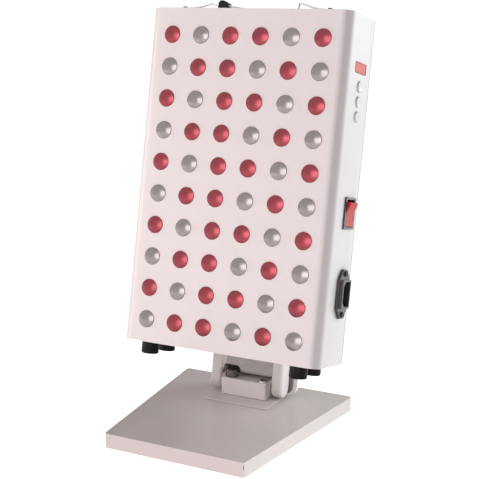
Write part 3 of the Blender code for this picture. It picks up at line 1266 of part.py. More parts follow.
def centre_on_floor(stand):
    """Moves the stand so that the whole part's box is centred over the origin, on the floor."""
    bpy.context.view_layer.update()
    graph = bpy.context.evaluated_depsgraph_get()
    corners = []
    for item in PARTS.objects:
        if item.type == "MESH":
            solid = item.evaluated_get(graph)
            corners += [item.matrix_world @ vertex.co for vertex in solid.data.vertices]
    across = [corner.x for corner in corners]
    along = [corner.y for corner in corners]
    stand.location.x -= (min(across) + max(across)) / 2
    stand.location.y -= (min(along) + max(along)) / 2


def build():
    stand = empty("stand_frame", None, (0, 0, 0))
    shell, ballast = build_base(stand)
    build_hinge_block(stand, shell, ballast)
    panel = empty("tilt_axis", stand, (0, 0, PIVOT_HEIGHT), (-REST_TILT, 0, 0))
    housing = build_housing(panel)
    cover = build_cover(panel, housing)
    build_lamps(panel)
    for number, centre_z in enumerate(FAN_CENTRES_Z, start=1):
        build_fan(panel, number, centre_z)
    build_driver(panel)
    board_outer = build_display(panel, housing)
    build_control_board(panel, board_outer)
    build_buttons(panel, housing)
    build_rocker(panel, housing)
    build_inlet(panel, housing)
    build_feet(panel, housing)
    build_hanger(panel, housing)
    yoke = build_yoke(panel, cover)
    build_stop_plate(panel, yoke)
    centre_on_floor(stand)


clear_scene()
PARTS = new_collection("red_light_therapy_panel")
CUTTERS = new_collection("cutters")
build()
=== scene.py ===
"""Looks of the light therapy panel: detailed pieces, materials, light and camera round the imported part.

Lengths are metres. Panel pieces are made in the leaning panel's own directions, from the
hinge's axis: X across, Y from the light side to the back, Z up along the panel.
"""

import json
import math

import bmesh
import bpy
from mathutils import Matrix, Vector


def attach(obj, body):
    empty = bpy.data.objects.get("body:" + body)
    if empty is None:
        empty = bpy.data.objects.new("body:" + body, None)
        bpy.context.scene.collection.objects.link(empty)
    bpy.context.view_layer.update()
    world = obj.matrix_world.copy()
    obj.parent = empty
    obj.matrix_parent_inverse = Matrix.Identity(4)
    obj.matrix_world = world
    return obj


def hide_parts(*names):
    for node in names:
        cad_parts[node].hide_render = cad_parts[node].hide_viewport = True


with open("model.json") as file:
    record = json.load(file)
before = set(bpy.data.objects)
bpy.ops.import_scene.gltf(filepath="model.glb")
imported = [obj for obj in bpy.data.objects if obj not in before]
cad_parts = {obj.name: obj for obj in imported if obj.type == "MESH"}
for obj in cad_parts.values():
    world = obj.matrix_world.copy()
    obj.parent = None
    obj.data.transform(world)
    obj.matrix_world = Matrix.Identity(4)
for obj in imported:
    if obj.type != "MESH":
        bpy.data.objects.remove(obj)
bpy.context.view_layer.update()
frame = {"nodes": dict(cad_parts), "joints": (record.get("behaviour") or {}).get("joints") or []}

# The panel's directions
JOINTS = {joint["name"]: joint for joint in frame["joints"]}
PIVOT = Vector(JOINTS["panel_tilt"]["pos_m"])
DEPTH_WAY = Vector(JOINTS["power_rocker"]["axis"]).normalized()
ACROSS_WAY = Vector((1, 0, 0))
RISE_WAY = ACROSS_WAY.cross(DEPTH_WAY)
PANEL_TURN = Matrix((ACROSS_WAY, DEPTH_WAY, RISE_WAY)).transposed()
PANEL = Matrix.Translation(PIVOT) @ PANEL_TURN.to_4x4()

TO_FRONT = Matrix.Rotation(math.pi / 2, 4, "X")
TO_BACK = Matrix.Rotation(-math.pi / 2, 4, "X")
TO_SIDE = Matrix.Rotation(math.pi / 2, 4, "Y")
UNTURNED = Matrix.Identity(4)
STAND = UNTURNED

# Camera
VIEW_YAW = math.radians(27.4447)
VIEW_PITCH = math.radians(12.7217)
VIEW_DISTANCE = 1.1305
VIEW_TARGET_FROM_PIVOT = Vector((0.00145, -0.02498, 0.16028))
SENSOR_WIDTH_MM = 36
PHOTO_WIDTH_PX = 479
FOCAL_LENGTH_PX = 1125.89

# Housing
SHEET = 0.0012
EDGE_CHAMFER = 0.0071
BEND_RADIUS = 0.0100
REAR_BEND_RADIUS = 0.0006
RIM_RADIUS = 0.0026
RETURN_FLANGE = 0.0080
OVERRUN = 0.0020
FIT_GAP = 0.0004
SEAT_GAP = 0.0003

# Lamps
COLUMNS = 6
ROWS = 10
SIDE_COLUMN_MARGIN = 0.02705
TOP_ROW_MARGIN = 0.0271
BOTTOM_ROW_MARGIN = 0.0233
LENS_HOLE_RADIUS = 0.00875
LENS_HOLE_CHAMFER = 0.0002
LENS_FIT = 0.0001
LENS_RISE = 0.0034
LENS_SHOULDER_RISE = 0.0007
LENS_SIDES = 40
LENS_STEPS = 10
ODD_ROW_LAMPS = "RCRRCR"
EVEN_ROW_LAMPS = "CRRCRC"


# Shapes

def panel_box(node, place=PANEL):
    """Lowest and highest corners of a node in the panel's directions, or another place's."""
    back = place.inverted()
    corners = [back @ vertex.co for vertex in frame["nodes"][node].data.vertices]
    low = Vector(min(corner[way] for corner in corners) for way in range(3))
    high = Vector(max(corner[way] for corner in corners) for way in range(3))
    return low, high


def mesh_of(shape, name, smooth_angle=35):
    """A mesh from a bmesh, which is used up, with its faces turned outward."""
    mesh = bpy.data.meshes.new(name)
    bmesh.ops.recalc_face_normals(shape, faces=shape.faces)
    shape.to_mesh(mesh)
    shape.free()
    shade(mesh, smooth_angle)
    return mesh


def shade(mesh, smooth_angle=35):
    """Smooth shading, with an edge where faces meet at more than an angle in degrees."""
    mesh.shade_smooth()
    mesh.set_sharp_from_angle(angle=math.radians(smooth_angle))


def box_into(shape, low, high):
    """Adds a box between two opposite corners."""
    made = bmesh.ops.create_cube(shape, size=1.0)["verts"]
    low = Vector(low)
    high = Vector(high)
    bmesh.ops.scale(shape, vec=high - low, verts=made)
    bmesh.ops.translate(shape, vec=(low + high) / 2, verts=made)


def turn_into(shape, profile, place, sides=48):
    """Adds a closed turned solid from (radius, height) points, moved by a matrix."""
    rings = []
    for radius, height in profile:
        if radius == 0:
            rings.append([shape.verts.new(place @ Vector((0, 0, height)))])
            continue
        ring = []
        for side in range(sides):
            angle = 2 * math.pi * side / sides
            spot = Vector((radius * math.cos(angle), radius * math.sin(angle), height))
            ring.append(shape.verts.new(place @ spot))
        rings.append(ring)
    for first, second in zip(rings, rings[1:]):
        for side in range(sides):
            after = (side + 1) % sides
            corners = [first[side % len(first)], first[after % len(first)],
                       second[after % len(second)], second[side % len(second)]]
            unique = list(dict.fromkeys(corners))
            if len(unique) > 2:
                shape.faces.new(unique)
    for ring in (rings[0], rings[-1]):
        if len(ring) > 1:
            shape.faces.new(ring)


def turned(name, profile, place, sides=48):
    """The mesh of one turned solid."""
    shape = bmesh.new()
    turn_into(shape, profile, place, sides)
    return mesh_of(shape, name)


def arc(centre_radius, centre_height, radius, start, end, steps):
    """(radius, height) points on an arc, for a turned profile's rounded edge."""
    return [(centre_radius + radius * math.cos(start + (end - start) * step / steps),
             centre_height + radius * math.sin(start + (end - start) * step / steps))
            for step in range(steps + 1)]


def prism_into(shape, outline, low, high, place=UNTURNED):
    """Adds a closed solid with a flat outline between two heights."""
    bottom = [shape.verts.new(place @ Vector((*point, low))) for point in outline]
    top = [shape.verts.new(place @ Vector((*point, high))) for point in outline]
    count = len(outline)
    shape.faces.new(bottom)
    shape.faces.new(top)
    for index in range(count):
        after = (index + 1) % count
        shape.faces.new((bottom[index], bottom[after], top[after], top[index]))


def rounded(corners, radii, steps=6):
    """An outline with rounded corners, one radius for each corner."""
    result = []
    for index, (corner, radius) in enumerate(zip(corners, radii)):
        here = Vector(corner)
        if radius == 0:
            result.append(here)
            continue
        back = (Vector(corners[index - 1]) - here).normalized()
        ahead = (Vector(corners[(index + 1) % len(corners)]) - here).normalized()
        half = back.angle(ahead) / 2
        centre = here + (back + ahead).normalized() * radius / math.sin(half)
        reach = radius / math.tan(half)
        first = here + back * reach - centre
        turn = first.angle_signed(here + ahead * reach - centre)
        for step in range(steps + 1):
            result.append(centre + Matrix.Rotation(-turn * step / steps, 2) @ first)
    return result


def carved(name, mesh, tools, operation="DIFFERENCE", smooth_angle=35):
    """The mesh after each tool mesh is taken out of it, or joined to it."""
    item = bpy.data.objects.new(name, mesh)
    bpy.context.scene.collection.objects.link(item)
    helpers = []
    for tool in tools:
        helper = bpy.data.objects.new(name + "_tool", tool)
        bpy.context.scene.collection.objects.link(helper)
        helpers.append(helper)
        change = item.modifiers.new("Carve", "BOOLEAN")
        change.operation = operation
        change.solver = "EXACT"
        change.object = helper
    bpy.context.view_layer.update()
    graph = bpy.context.evaluated_depsgraph_get()
    result = bpy.data.meshes.new_from_object(item.evaluated_get(graph))
    result.name = name
    for extra in (item, *helpers):
        bpy.data.objects.remove(extra)
    result.materials.clear()
    shade(result, smooth_angle)
    return result


def piece(name, mesh, look, body, place=PANEL, replaces=()):
    """Puts a mesh in the scene as a piece that rides on a body."""
    mesh.transform(place)
    mesh.materials.append(look)
    item = bpy.data.objects.new(name, mesh)
    bpy.context.scene.collection.objects.link(item)
    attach(item, body)
    if replaces:
        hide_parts(*replaces)
    return item


def soften(item, width, segments=2, angle=30):
    """Small rounded edges, with shading that stays flat on the flat faces."""
    bevel = item.modifiers.new("Soft edges", "BEVEL")
    bevel.width = width
    bevel.segments = segments
    bevel.limit_method = "ANGLE"
    bevel.angle_limit = math.radians(angle)
    bevel.harden_normals = False
    normals = item.modifiers.new("Flat faces", "WEIGHTED_NORMAL")
    normals.weight = 50
    normals.keep_sharp = False


# Materials

def linear(red, green, blue):
    """Linear colour from display values of 0 to 255."""
    values = []
    for channel in (red, green, blue):
        share = channel / 255
        values.append(share / 12.92 if share <= 0.04045 else ((share + 0.055) / 1.055) ** 2.4)
    return tuple(values)


LEAST_ROUGHNESS = 0.02

# How squarely a bend faces its front, from 0 to 1, where its painted shade starts, is full, fades and ends
FOLD_START = 0.14
FOLD_FULL = 0.60
FOLD_FADE = 0.80
FOLD_END = 0.99


class Look:
    """A node material with one main shader and helpers for its detail."""

    def __init__(self, name, colour, roughness, metallic=0.0, coat=0.0, coat_roughness=0.05, specular=0.5):
        self.material = bpy.data.materials.new(name)
        self.material.use_nodes = True
        self.material.diffuse_color = (*colour, 1)
        self.tree = self.material.node_tree
        self.shader = self.tree.nodes["Principled BSDF"]
        self.colour = colour
        self.roughness = roughness
        self.depth = None
        self.set("Base Color", (*colour, 1))
        self.set("Roughness", roughness)
        self.set("Metallic", metallic)
        self.set("Coat Weight", coat)
        self.set("Coat Roughness", coat_roughness)
        self.set("Specular IOR Level", specular)
        self.place = self.tree.nodes.new("ShaderNodeTexCoord").outputs["Object"]

    def set(self, socket, value):
        """Sets one value of the shader."""
        self.shader.inputs[socket].default_value = value

    def link(self, start, end):
        """Joins an output to an input."""
        self.tree.links.new(start, end)

    def noise(self, scale, detail=3.0, roughness=0.55, stretch=None):
        """A noise value; scale is features per metre, and stretch scales each direction."""
        source = self.place
        if stretch:
            mapping = self.tree.nodes.new("ShaderNodeMapping")
            mapping.inputs["Scale"].default_value = stretch
            self.link(source, mapping.inputs["Vector"])
            source = mapping.outputs["Vector"]
        texture = self.tree.nodes.new("ShaderNodeTexNoise")
        texture.inputs["Scale"].default_value = scale
        texture.inputs["Detail"].default_value = detail
        texture.inputs["Roughness"].default_value = roughness
        self.link(source, texture.inputs["Vector"])
        return texture.outputs["Fac"]

    def spread(self, value, low, high, start=0.3, end=0.7):
        """Maps a value's range from start to end, by default a noise's middle, onto low to high."""
        node = self.tree.nodes.new("ShaderNodeMapRange")
        node.inputs["From Min"].default_value = start
        node.inputs["From Max"].default_value = end
        node.inputs["To Min"].default_value = low
        node.inputs["To Max"].default_value = high
        self.link(value, node.inputs["Value"])
        return node.outputs["Result"]

    def product(self, first, second):
        """One value times another."""
        node = self.tree.nodes.new("ShaderNodeMath")
        node.operation = "MULTIPLY"
        self.link(first, node.inputs[0])
        self.link(second, node.inputs[1])
        return node.outputs["Value"]

    def reach(self, vector, way):
        """How far a place or a normal reaches along a direction."""
        node = self.tree.nodes.new("ShaderNodeVectorMath")
        node.operation = "DOT_PRODUCT"
        node.inputs[1].default_value = way
        self.link(vector, node.inputs[0])
        return node.outputs["Value"]

    def within(self, way, low, high, blend=0.0003):
        """1 between two places along a direction, and 0 outside them."""
        value = self.reach(self.place, way)
        return self.product(self.spread(value, 0, 1, low - blend, low + blend),
                            self.spread(value, 1, 0, high - blend, high + blend))

    def tint(self, value, low_colour, high_colour):
        """Colours the surface between two colours by a value from 0 to 1."""
        mix = self.tree.nodes.new("ShaderNodeMix")
        mix.data_type = "RGBA"
        mix.inputs["A"].default_value = (*low_colour, 1)
        mix.inputs["B"].default_value = (*high_colour, 1)
        self.link(value, mix.inputs["Factor"])
        self.link(mix.outputs["Result"], self.shader.inputs["Base Color"])
        return self

    def darkened(self, share, amount):
        """Takes an amount off the surface's colour where a share is 1."""
        mix = self.tree.nodes.new("ShaderNodeMix")
        mix.data_type = "RGBA"
        mix.blend_type = "MULTIPLY"
        colour = self.shader.inputs["Base Color"]
        self.link(colour.links[0].from_socket, mix.inputs["A"])
        mix.inputs["B"].default_value = (1 - amount, 1 - amount, 1 - amount, 1)
        self.link(share, mix.inputs["Factor"])
        self.link(mix.outputs["Result"], colour)
        return self

    def mottled(self, scale, amount, detail=3.0):
        """Slow light and dark patches of the surface's own colour."""
        darker = tuple(channel * (1 - amount) for channel in self.colour)
        lighter = tuple(min(channel * (1 + amount), 1) for channel in self.colour)
        return self.tint(self.spread(self.noise(scale, detail), 0, 1), darker, lighter)

    def rubbed(self, scale, amount, stretch=None):
        """Patches that are a little rougher or smoother."""
        smoothest = max(self.roughness - amount, LEAST_ROUGHNESS)
        roughest = min(self.roughness + amount, 1)
        value = self.spread(self.noise(scale, detail=4.0, stretch=stretch), smoothest, roughest)
        self.link(value, self.shader.inputs["Roughness"])
        return self

    def grained(self, scale, depth, stretch=None, detail=2.0):
        """A fine surface relief; depth is in metres. Calls stack."""
        bump = self.tree.nodes.new("ShaderNodeBump")
        bump.inputs["Distance"].default_value = depth
        bump.inputs["Strength"].default_value = 1.0
        self.link(self.noise(scale, detail, stretch=stretch), bump.inputs["Height"])
        if self.depth:
            self.link(self.depth, bump.inputs["Normal"])
        self.depth = bump.outputs["Normal"]
        self.link(self.depth, self.shader.inputs["Normal"])
        return self

    def shaded_bends(self, front, amount):
        """Darkens the paint as painted shade along the bends between one face and the faces round it."""
        normal = self.tree.nodes.new("ShaderNodeTexCoord").outputs["Normal"]
        facing = self.reach(normal, front)
        share = self.product(self.spread(facing, 0, 1, FOLD_START, FOLD_FULL),
                             self.spread(facing, 1, 0, FOLD_FADE, FOLD_END))
        return self.darkened(share, amount)

    def streaked_shade(self, share, amount, stretch):
        """Brushed streaks that darken as painted shade where a share is 1."""
        streaks = self.spread(self.noise(scale=500, detail=4.0, stretch=stretch), 0.6, 1)
        return self.darkened(self.product(share, streaks), amount)


def powder_coat(name, colour, roughness):
    """Baked paint with a fine orange-peel skin."""
    look = Look(name, colour, roughness, coat=0.06, coat_roughness=0.35, specular=0.35)
    look.mottled(scale=14, amount=0.012).rubbed(scale=60, amount=0.05)
    return look.grained(scale=900, depth=0.00003).grained(scale=160, depth=0.00004)


def satin_paint(name, colour, roughness):
    """Smooth sprayed paint with hardly any gloss."""
    look = Look(name, colour, roughness, specular=0.05)
    return look.mottled(scale=9, amount=0.015).rubbed(scale=35, amount=0.04).grained(scale=700, depth=0.00001)


def plated(name, colour, roughness, stretch=None):
    """Metal with fine drawn or turned marks."""
    look = Look(name, colour, roughness, metallic=1.0)
    look.mottled(scale=120, amount=0.06).rubbed(scale=260, amount=0.08, stretch=stretch)
    return look.grained(scale=1800, depth=0.000006, stretch=stretch)


def moulded(name, colour, roughness, coat=0.0, specular=0.5):
    """Plastic with a light spark-eroded grain."""
    look = Look(name, colour, roughness, coat=coat, specular=specular)
    look.mottled(scale=60, amount=0.05).rubbed(scale=120, amount=0.05)
    return look.grained(scale=2600, depth=0.000012)


def soft_rubber(name, colour):
    """Dull rubber with a coarser grain."""
    look = Look(name, colour, roughness=0.40, specular=0.10)
    look.mottled(scale=90, amount=0.15).rubbed(scale=150, amount=0.10)
    return look.grained(scale=1500, depth=0.00003)


def lens_look(name, dark, bright, mirror, roughness, coat):
    """A domed lens over its reflector, cloudy inside, with a clear skin."""
    look = Look(name, bright, roughness, metallic=mirror, coat=coat, coat_roughness=0.15)
    look.tint(look.spread(look.noise(scale=240, detail=2.0), 0, 1), dark, bright)
    return look.grained(scale=420, depth=0.00004)


PANEL_WHITE = linear(240, 237, 237)
# The base's paint, darker than the panel's as painted shade on the base's top
BASE_SHADED_WHITE = linear(214, 208, 206)
CAST_WHITE = linear(205, 204, 203)
# The yoke's paint, darker than the block's as painted shade under the panel
YOKE_SHADED_WHITE = linear(190, 188, 187)
STOP_WHITE = linear(226, 221, 220)
LEVER_RED = linear(190, 22, 40)
# The lever's pale lower end is a painted highlight
LEVER_GLARE_RED = linear(208, 90, 84)
LEVER_GLARE_FADE = 0.0100

# The web's reach from the hinge's middle, where painted shade darkens it
WEB_HALF = 0.0288
WEB_FRONT = 0.0074
WEB_REAR = 0.0033

# Stretches of a noise along X, Y and Z: a low value draws its marks out that way
WEB_STREAKS = (0.3, 3, 3)
DRAWN_UP = (1, 1, 0.05)


def panel_look():
    """Baked paint, with painted shade along the bends round the front and round the top."""
    look = powder_coat("panel_paint", PANEL_WHITE, roughness=0.42)
    return look.shaded_bends(-DEPTH_WAY, amount=0.26).shaded_bends(RISE_WAY, amount=0.25)


def yoke_shaded_look():
    """Baked paint, darkened as painted shade under the panel, with brushed streaks of painted shade on the
    web between the arms.
    """
    look = powder_coat("yoke_shaded_paint", YOKE_SHADED_WHITE, roughness=0.34)
    depth = PIVOT.dot(DEPTH_WAY)
    web = look.product(look.within(ACROSS_WAY, -WEB_HALF, WEB_HALF),
                       look.within(DEPTH_WAY, depth - WEB_FRONT, depth + WEB_REAR))
    return look.streaked_shade(web, amount=0.50, stretch=WEB_STREAKS)


def lever_glare_look():
    """Red plastic with a painted highlight that pales it toward the lever's lower end."""
    look = moulded("lever_plastic", LEVER_RED, roughness=0.40, specular=0.18)
    height = Vector(JOINTS["power_rocker"]["pos_m"]).dot(RISE_WAY)
    glare = look.spread(look.reach(look.place, RISE_WAY), 0, 1, height - LEVER_GLARE_FADE, height + LEVER_GLARE_FADE)
    return look.tint(glare, LEVER_GLARE_RED, LEVER_RED)


def display_look():
    """Tinted window of the display."""
    look = Look("display_tint", linear(233, 126, 120), roughness=0.45, specular=0.15)
    return look.mottled(scale=70, amount=0.05).grained(scale=900, depth=0.00001)


def board_look(name, colour, amount, coat):
    """A circuit board under its lacquer."""
    return Look(name, colour, roughness=0.35, coat=coat).mottled(scale=200, amount=amount)


panel_paint = panel_look().material
base_paint = satin_paint("base_paint", BASE_SHADED_WHITE, roughness=0.22).material
cast_paint = powder_coat("cast_paint", CAST_WHITE, roughness=0.34).material
yoke_shaded_paint = yoke_shaded_look().material
stop_paint = powder_coat("stop_paint", STOP_WHITE, roughness=0.36).material
plated_steel = plated("plated_steel", linear(190, 188, 184), roughness=0.28).material
black_steel = plated("black_steel", linear(64, 62, 61), roughness=0.24).material
bolt_steel = plated("bolt_steel", linear(124, 122, 120), roughness=0.20).material
wire_steel = plated("wire_steel", linear(226, 225, 223), roughness=0.32).material
sink_aluminium = plated("sink_aluminium", linear(200, 200, 202), roughness=0.38, stretch=DRAWN_UP).material
driver_aluminium = plated("driver_aluminium", linear(205, 205, 207), roughness=0.45).material
nickel = plated("nickel", linear(205, 200, 190), roughness=0.22).material
fan_plastic = moulded("fan_plastic", linear(34, 34, 36), roughness=0.45).material
bezel_plastic = moulded("bezel_plastic", linear(26, 26, 27), roughness=0.30, coat=0.3).material
inlet_plastic = moulded("inlet_plastic", linear(48, 48, 50), roughness=0.38, coat=0.2).material
gripper_plastic = moulded("gripper_plastic", linear(14, 14, 15), roughness=0.45, specular=0.2).material
foot_rubber = soft_rubber("foot_rubber", linear(16, 15, 16)).material
pad_rubber = soft_rubber("pad_rubber", linear(38, 37, 37)).material
# Grey rubber of the stop pad; its dark tone is also painted shade for the gap between arm and stop plate
gap_shade_rubber = soft_rubber("gap_shade_rubber", linear(104, 99, 98)).material
washer_plastic = moulded("washer_plastic", linear(186, 180, 177), roughness=0.45, specular=0.2).material
cap_plastic = moulded("cap_plastic", linear(236, 234, 234), roughness=0.28, coat=0.4).material
# The button collars' grey plastic, darker than the caps as painted shade
collar_shade_plastic = moulded("collar_shade_plastic", linear(208, 206, 204), roughness=0.45, specular=0.2).material
lever_plastic = lever_glare_look().material
board_lacquer = board_look("board_lacquer", linear(40, 110, 62), amount=0.08, coat=0.5).material
board_white = board_look("board_white", linear(228, 228, 224), amount=0.03, coat=0.4).material
clear_lens = lens_look("clear_lens", dark=(0.33, 0.290, 0.283), bright=(0.39, 0.348, 0.340), mirror=0.5,
                       roughness=0.28, coat=0.3).material
red_lens = lens_look("red_lens", dark=(0.28, 0.052, 0.067), bright=(0.35, 0.056, 0.073), mirror=0.75,
                     roughness=0.36, coat=0.03).material
display_tint = display_look().material
# The display frame's darker red is painted shade along the window's edge
display_shaded_rim = moulded("display_shaded_rim", linear(206, 118, 114), roughness=0.45, specular=0.2).material


# Housing and lenses

LENSES = bpy.data.collections.new("lenses")

HOUSING_LOW, HOUSING_HIGH = panel_box("housing")
FACE_Y = HOUSING_LOW.y


def lamp_places():
    """Centre of each lamp and its kind, row by row from the top."""
    pitch = (HOUSING_HIGH.x - HOUSING_LOW.x - 2 * SIDE_COLUMN_MARGIN) / (COLUMNS - 1)
    drop = (HOUSING_HIGH.z - HOUSING_LOW.z - TOP_ROW_MARGIN - BOTTOM_ROW_MARGIN) / (ROWS - 1)
    places = []
    for row in range(ROWS):
        kinds = ODD_ROW_LAMPS if row % 2 == 0 else EVEN_ROW_LAMPS
        for column in range(COLUMNS):
            x = HOUSING_LOW.x + SIDE_COLUMN_MARGIN + column * pitch
            z = HOUSING_HIGH.z - TOP_ROW_MARGIN - row * drop
            places.append((x, z, kinds[column]))
    return places


def housing_outline(margin):
    """The housing seen from above, drawn in by a margin, with rounded bends."""
    low_x = HOUSING_LOW.x + margin
    high_x = HOUSING_HIGH.x - margin
    front = FACE_Y + margin
    rear = HOUSING_HIGH.y - margin
    chamfer = EDGE_CHAMFER - margin * (2 - math.sqrt(2))
    corners = [(low_x, rear), (low_x, front + chamfer), (low_x + chamfer, front), (high_x - chamfer, front),
               (high_x, front + chamfer), (high_x, rear)]
    bend = BEND_RADIUS - margin
    rear_bend = max(REAR_BEND_RADIUS - margin, 0)
    return rounded(corners, [rear_bend, bend, bend, bend, bend, rear_bend], steps=8)


def side_opening(shape, node, gap, width=None, height=None):
    """A rectangular hole through the housing's right wall, round a node."""
    low, high = panel_box(node)
    middle = (low + high) / 2
    half_y = (width or high.y - low.y) / 2 + gap
    half_z = (height or high.z - low.z) / 2 + gap
    box_into(shape, (HOUSING_HIGH.x - SHEET - OVERRUN, middle.y - half_y, middle.z - half_z),
             (HOUSING_HIGH.x + OVERRUN, middle.y + half_y, middle.z + half_z))


ROCKER_WIDTH = 0.0222
ROCKER_HEIGHT = 0.0282
INLET_WIDTH = 0.0205
INLET_HEIGHT = 0.0280
BUTTON_RADIUS = 0.0051
BUTTON_HOLE_SIDES = 40


def button_places():
    """Centre of each button's axis, from its node."""
    places = []
    for number in (1, 2, 3):
        low, high = panel_box("push_button_%d" % number)
        places.append((low + high) / 2)
    return places


def build_housing():
    """The folded front shell, with its round lamp holes and its openings on the side."""
    shape = bmesh.new()
    prism_into(shape, housing_outline(0), HOUSING_LOW.z, HOUSING_HIGH.z)
    rims = [edge for edge in shape.edges
            if len({round(vertex.co.z, 6) for vertex in edge.verts}) == 1]
    bmesh.ops.bevel(shape, geom=rims, offset=RIM_RADIUS, segments=5, profile=0.5, affect="EDGES")
    outer = mesh_of(shape, "housing_shell")

    cavity = bmesh.new()
    prism_into(cavity, housing_outline(SHEET), HOUSING_LOW.z + SHEET, HOUSING_HIGH.z - SHEET)
    mouth = bmesh.new()
    flange = Vector((RETURN_FLANGE, 0, RETURN_FLANGE))
    box_into(mouth, Vector((HOUSING_LOW.x, HOUSING_HIGH.y - SHEET - OVERRUN, HOUSING_LOW.z)) + flange,
             HOUSING_HIGH + Vector((0, OVERRUN, 0)) - flange)
    holes = bmesh.new()
    wide = LENS_HOLE_RADIUS + LENS_HOLE_CHAMFER
    profile = [(LENS_HOLE_RADIUS, -SHEET - OVERRUN), (LENS_HOLE_RADIUS, -LENS_HOLE_CHAMFER), (wide, 0),
               (wide, OVERRUN)]
    for x, z, _ in lamp_places():
        turn_into(holes, profile, Matrix.Translation((x, FACE_Y, z)) @ TO_FRONT, LENS_SIDES)
    openings = bmesh.new()
    side_opening(openings, "display_window", SEAT_GAP)
    side_opening(openings, "rocker_body", FIT_GAP, ROCKER_WIDTH, ROCKER_HEIGHT)
    side_opening(openings, "inlet_body", FIT_GAP, INLET_WIDTH, INLET_HEIGHT)
    for place in button_places():
        start = Vector((HOUSING_HIGH.x - SHEET - OVERRUN, place.y, place.z))
        turn_into(openings, [(BUTTON_RADIUS + FIT_GAP, 0), (BUTTON_RADIUS + FIT_GAP, SHEET + 2 * OVERRUN)],
                  Matrix.Translation(start) @ TO_SIDE, BUTTON_HOLE_SIDES)
    tools = [mesh_of(cavity, "cavity"), mesh_of(mouth, "mouth"), mesh_of(holes, "holes"),
             mesh_of(openings, "openings")]
    mesh = carved("housing_shell", outer, tools, smooth_angle=32)
    piece("housing_shell", mesh, panel_paint, "panel", replaces=["housing"])


def build_lenses():
    """Sixty domed lenses, each in its own hole."""
    radius = LENS_HOLE_RADIUS - LENS_FIT
    sphere_rise = LENS_RISE - LENS_SHOULDER_RISE
    sphere = (radius ** 2 + sphere_rise ** 2) / (2 * sphere_rise)
    edge = math.asin(radius / sphere)
    profile = [(0, -SHEET), (radius, -SHEET)]
    for step in range(LENS_STEPS + 1):
        angle = edge * (1 - step / LENS_STEPS)
        profile.append((sphere * math.sin(angle), LENS_RISE - sphere * (1 - math.cos(angle))))
    profile[-1] = (0, LENS_RISE)
    for number, (x, z, kind) in enumerate(lamp_places(), start=1):
        look = red_lens if kind == "R" else clear_lens
        name = ("red_lens_%02d" if kind == "R" else "clear_lens_%02d") % number
        mesh = turned(name, profile, Matrix.Translation((x, FACE_Y, z)) @ TO_FRONT, LENS_SIDES)
        lens = piece(name, mesh, look, "panel", replaces=["lens_array"])
        LENSES.objects.link(lens)


# Controls on the side

BUTTON_RISE = 0.0017
BUTTON_WALL_RISE = 0.0014
BUTTON_CAP_RADIUS = 0.0047
BUTTON_FLANGE = 0.0012
BUTTON_FLANGE_RADIUS = 0.0062
BUTTON_STEM_RADIUS = 0.0019
BUTTON_STEM_REACH = 0.0020
BUTTON_DISH = 0.0003
BUTTON_EDGE_STEPS = 4


def build_buttons():
    """Each button is a pale dished cap in a collar whose grey is painted shade round the cap."""
    flange_outer = -SHEET - SEAT_GAP
    flange_inner = flange_outer - BUTTON_FLANGE
    stem_inner = flange_inner - BUTTON_STEM_REACH
    edge = BUTTON_DISH
    seat = BUTTON_WALL_RISE - edge
    collar = [(0, stem_inner), (BUTTON_STEM_RADIUS, stem_inner), (BUTTON_STEM_RADIUS, flange_inner),
              (BUTTON_FLANGE_RADIUS, flange_inner), (BUTTON_FLANGE_RADIUS, flange_outer),
              (BUTTON_RADIUS, flange_outer),
              *arc(BUTTON_RADIUS - edge, seat, edge, 0, math.pi / 2, BUTTON_EDGE_STEPS),
              (BUTTON_CAP_RADIUS, seat), (0, seat)]
    cap = [(0, seat), (BUTTON_CAP_RADIUS, seat),
           *arc(BUTTON_CAP_RADIUS - edge, BUTTON_RISE - edge, edge, 0, math.pi / 2, BUTTON_EDGE_STEPS),
           (BUTTON_CAP_RADIUS * 3 / 4, BUTTON_RISE - edge / 2), (BUTTON_CAP_RADIUS / 3, BUTTON_RISE - edge),
           (0, BUTTON_RISE - edge)]
    for number, middle in enumerate(button_places(), start=1):
        node = "push_button_%d" % number
        place = Matrix.Translation((HOUSING_HIGH.x, middle.y, middle.z)) @ TO_SIDE
        piece("button_collar_%d" % number, turned("collar", collar, place), collar_shade_plastic, node,
              replaces=[node])
        piece("button_cap_%d" % number, turned("cap", cap, place), cap_plastic, node, replaces=[node])


DISPLAY_RIM = 0.0009
DISPLAY_THICKNESS = 0.0016
DISPLAY_CORNER = 0.0008
DISPLAY_RIM_EDGE = 0.0002
DISPLAY_PANE_EDGE = 0.0001


def build_display():
    """A tinted window with a frame round it, darker as painted shade along the window's edge."""
    low, high = panel_box("display_window")
    middle = (low + high) / 2
    half = (high - low) / 2
    place = Matrix.Translation((low.x, middle.y, middle.z)) @ TO_SIDE

    def window(margin, bottom, top):
        """The window's rounded slab, drawn in by a margin, between two depths."""
        wide = half.z - margin
        long = half.y - margin
        shape = bmesh.new()
        corners = [(-wide, -long), (wide, -long), (wide, long), (-wide, long)]
        prism_into(shape, rounded(corners, [DISPLAY_CORNER] * 4), bottom, top, place)
        return mesh_of(shape, "window")

    frame_mesh = carved("display_frame", window(0, 0, DISPLAY_THICKNESS),
                        [window(DISPLAY_RIM, -OVERRUN, DISPLAY_THICKNESS + OVERRUN)])
    rim = piece("display_frame", frame_mesh, display_shaded_rim, "panel", replaces=["display_window"])
    soften(rim, DISPLAY_RIM_EDGE)
    pane = piece("display_pane", window(DISPLAY_RIM, 0, DISPLAY_THICKNESS - DISPLAY_CORNER / 2), display_tint,
                 "panel", replaces=["display_window"])
    soften(pane, DISPLAY_PANE_EDGE)


LEVER_END_RISE = 0.0042
LEVER_WAIST_RISE = 0.0012
LEVER_LENGTH = 0.0240
LEVER_WIDTH = 0.0190
LEVER_AXIS_SINK = 0.0042
LEVER_PIN_RADIUS = 0.0014
LEVER_PIN_HALF = 0.01045
LEVER_PIN_SIDES = 24
LEVER_EDGE = 0.0006
LEVER_SWING = math.radians(9)


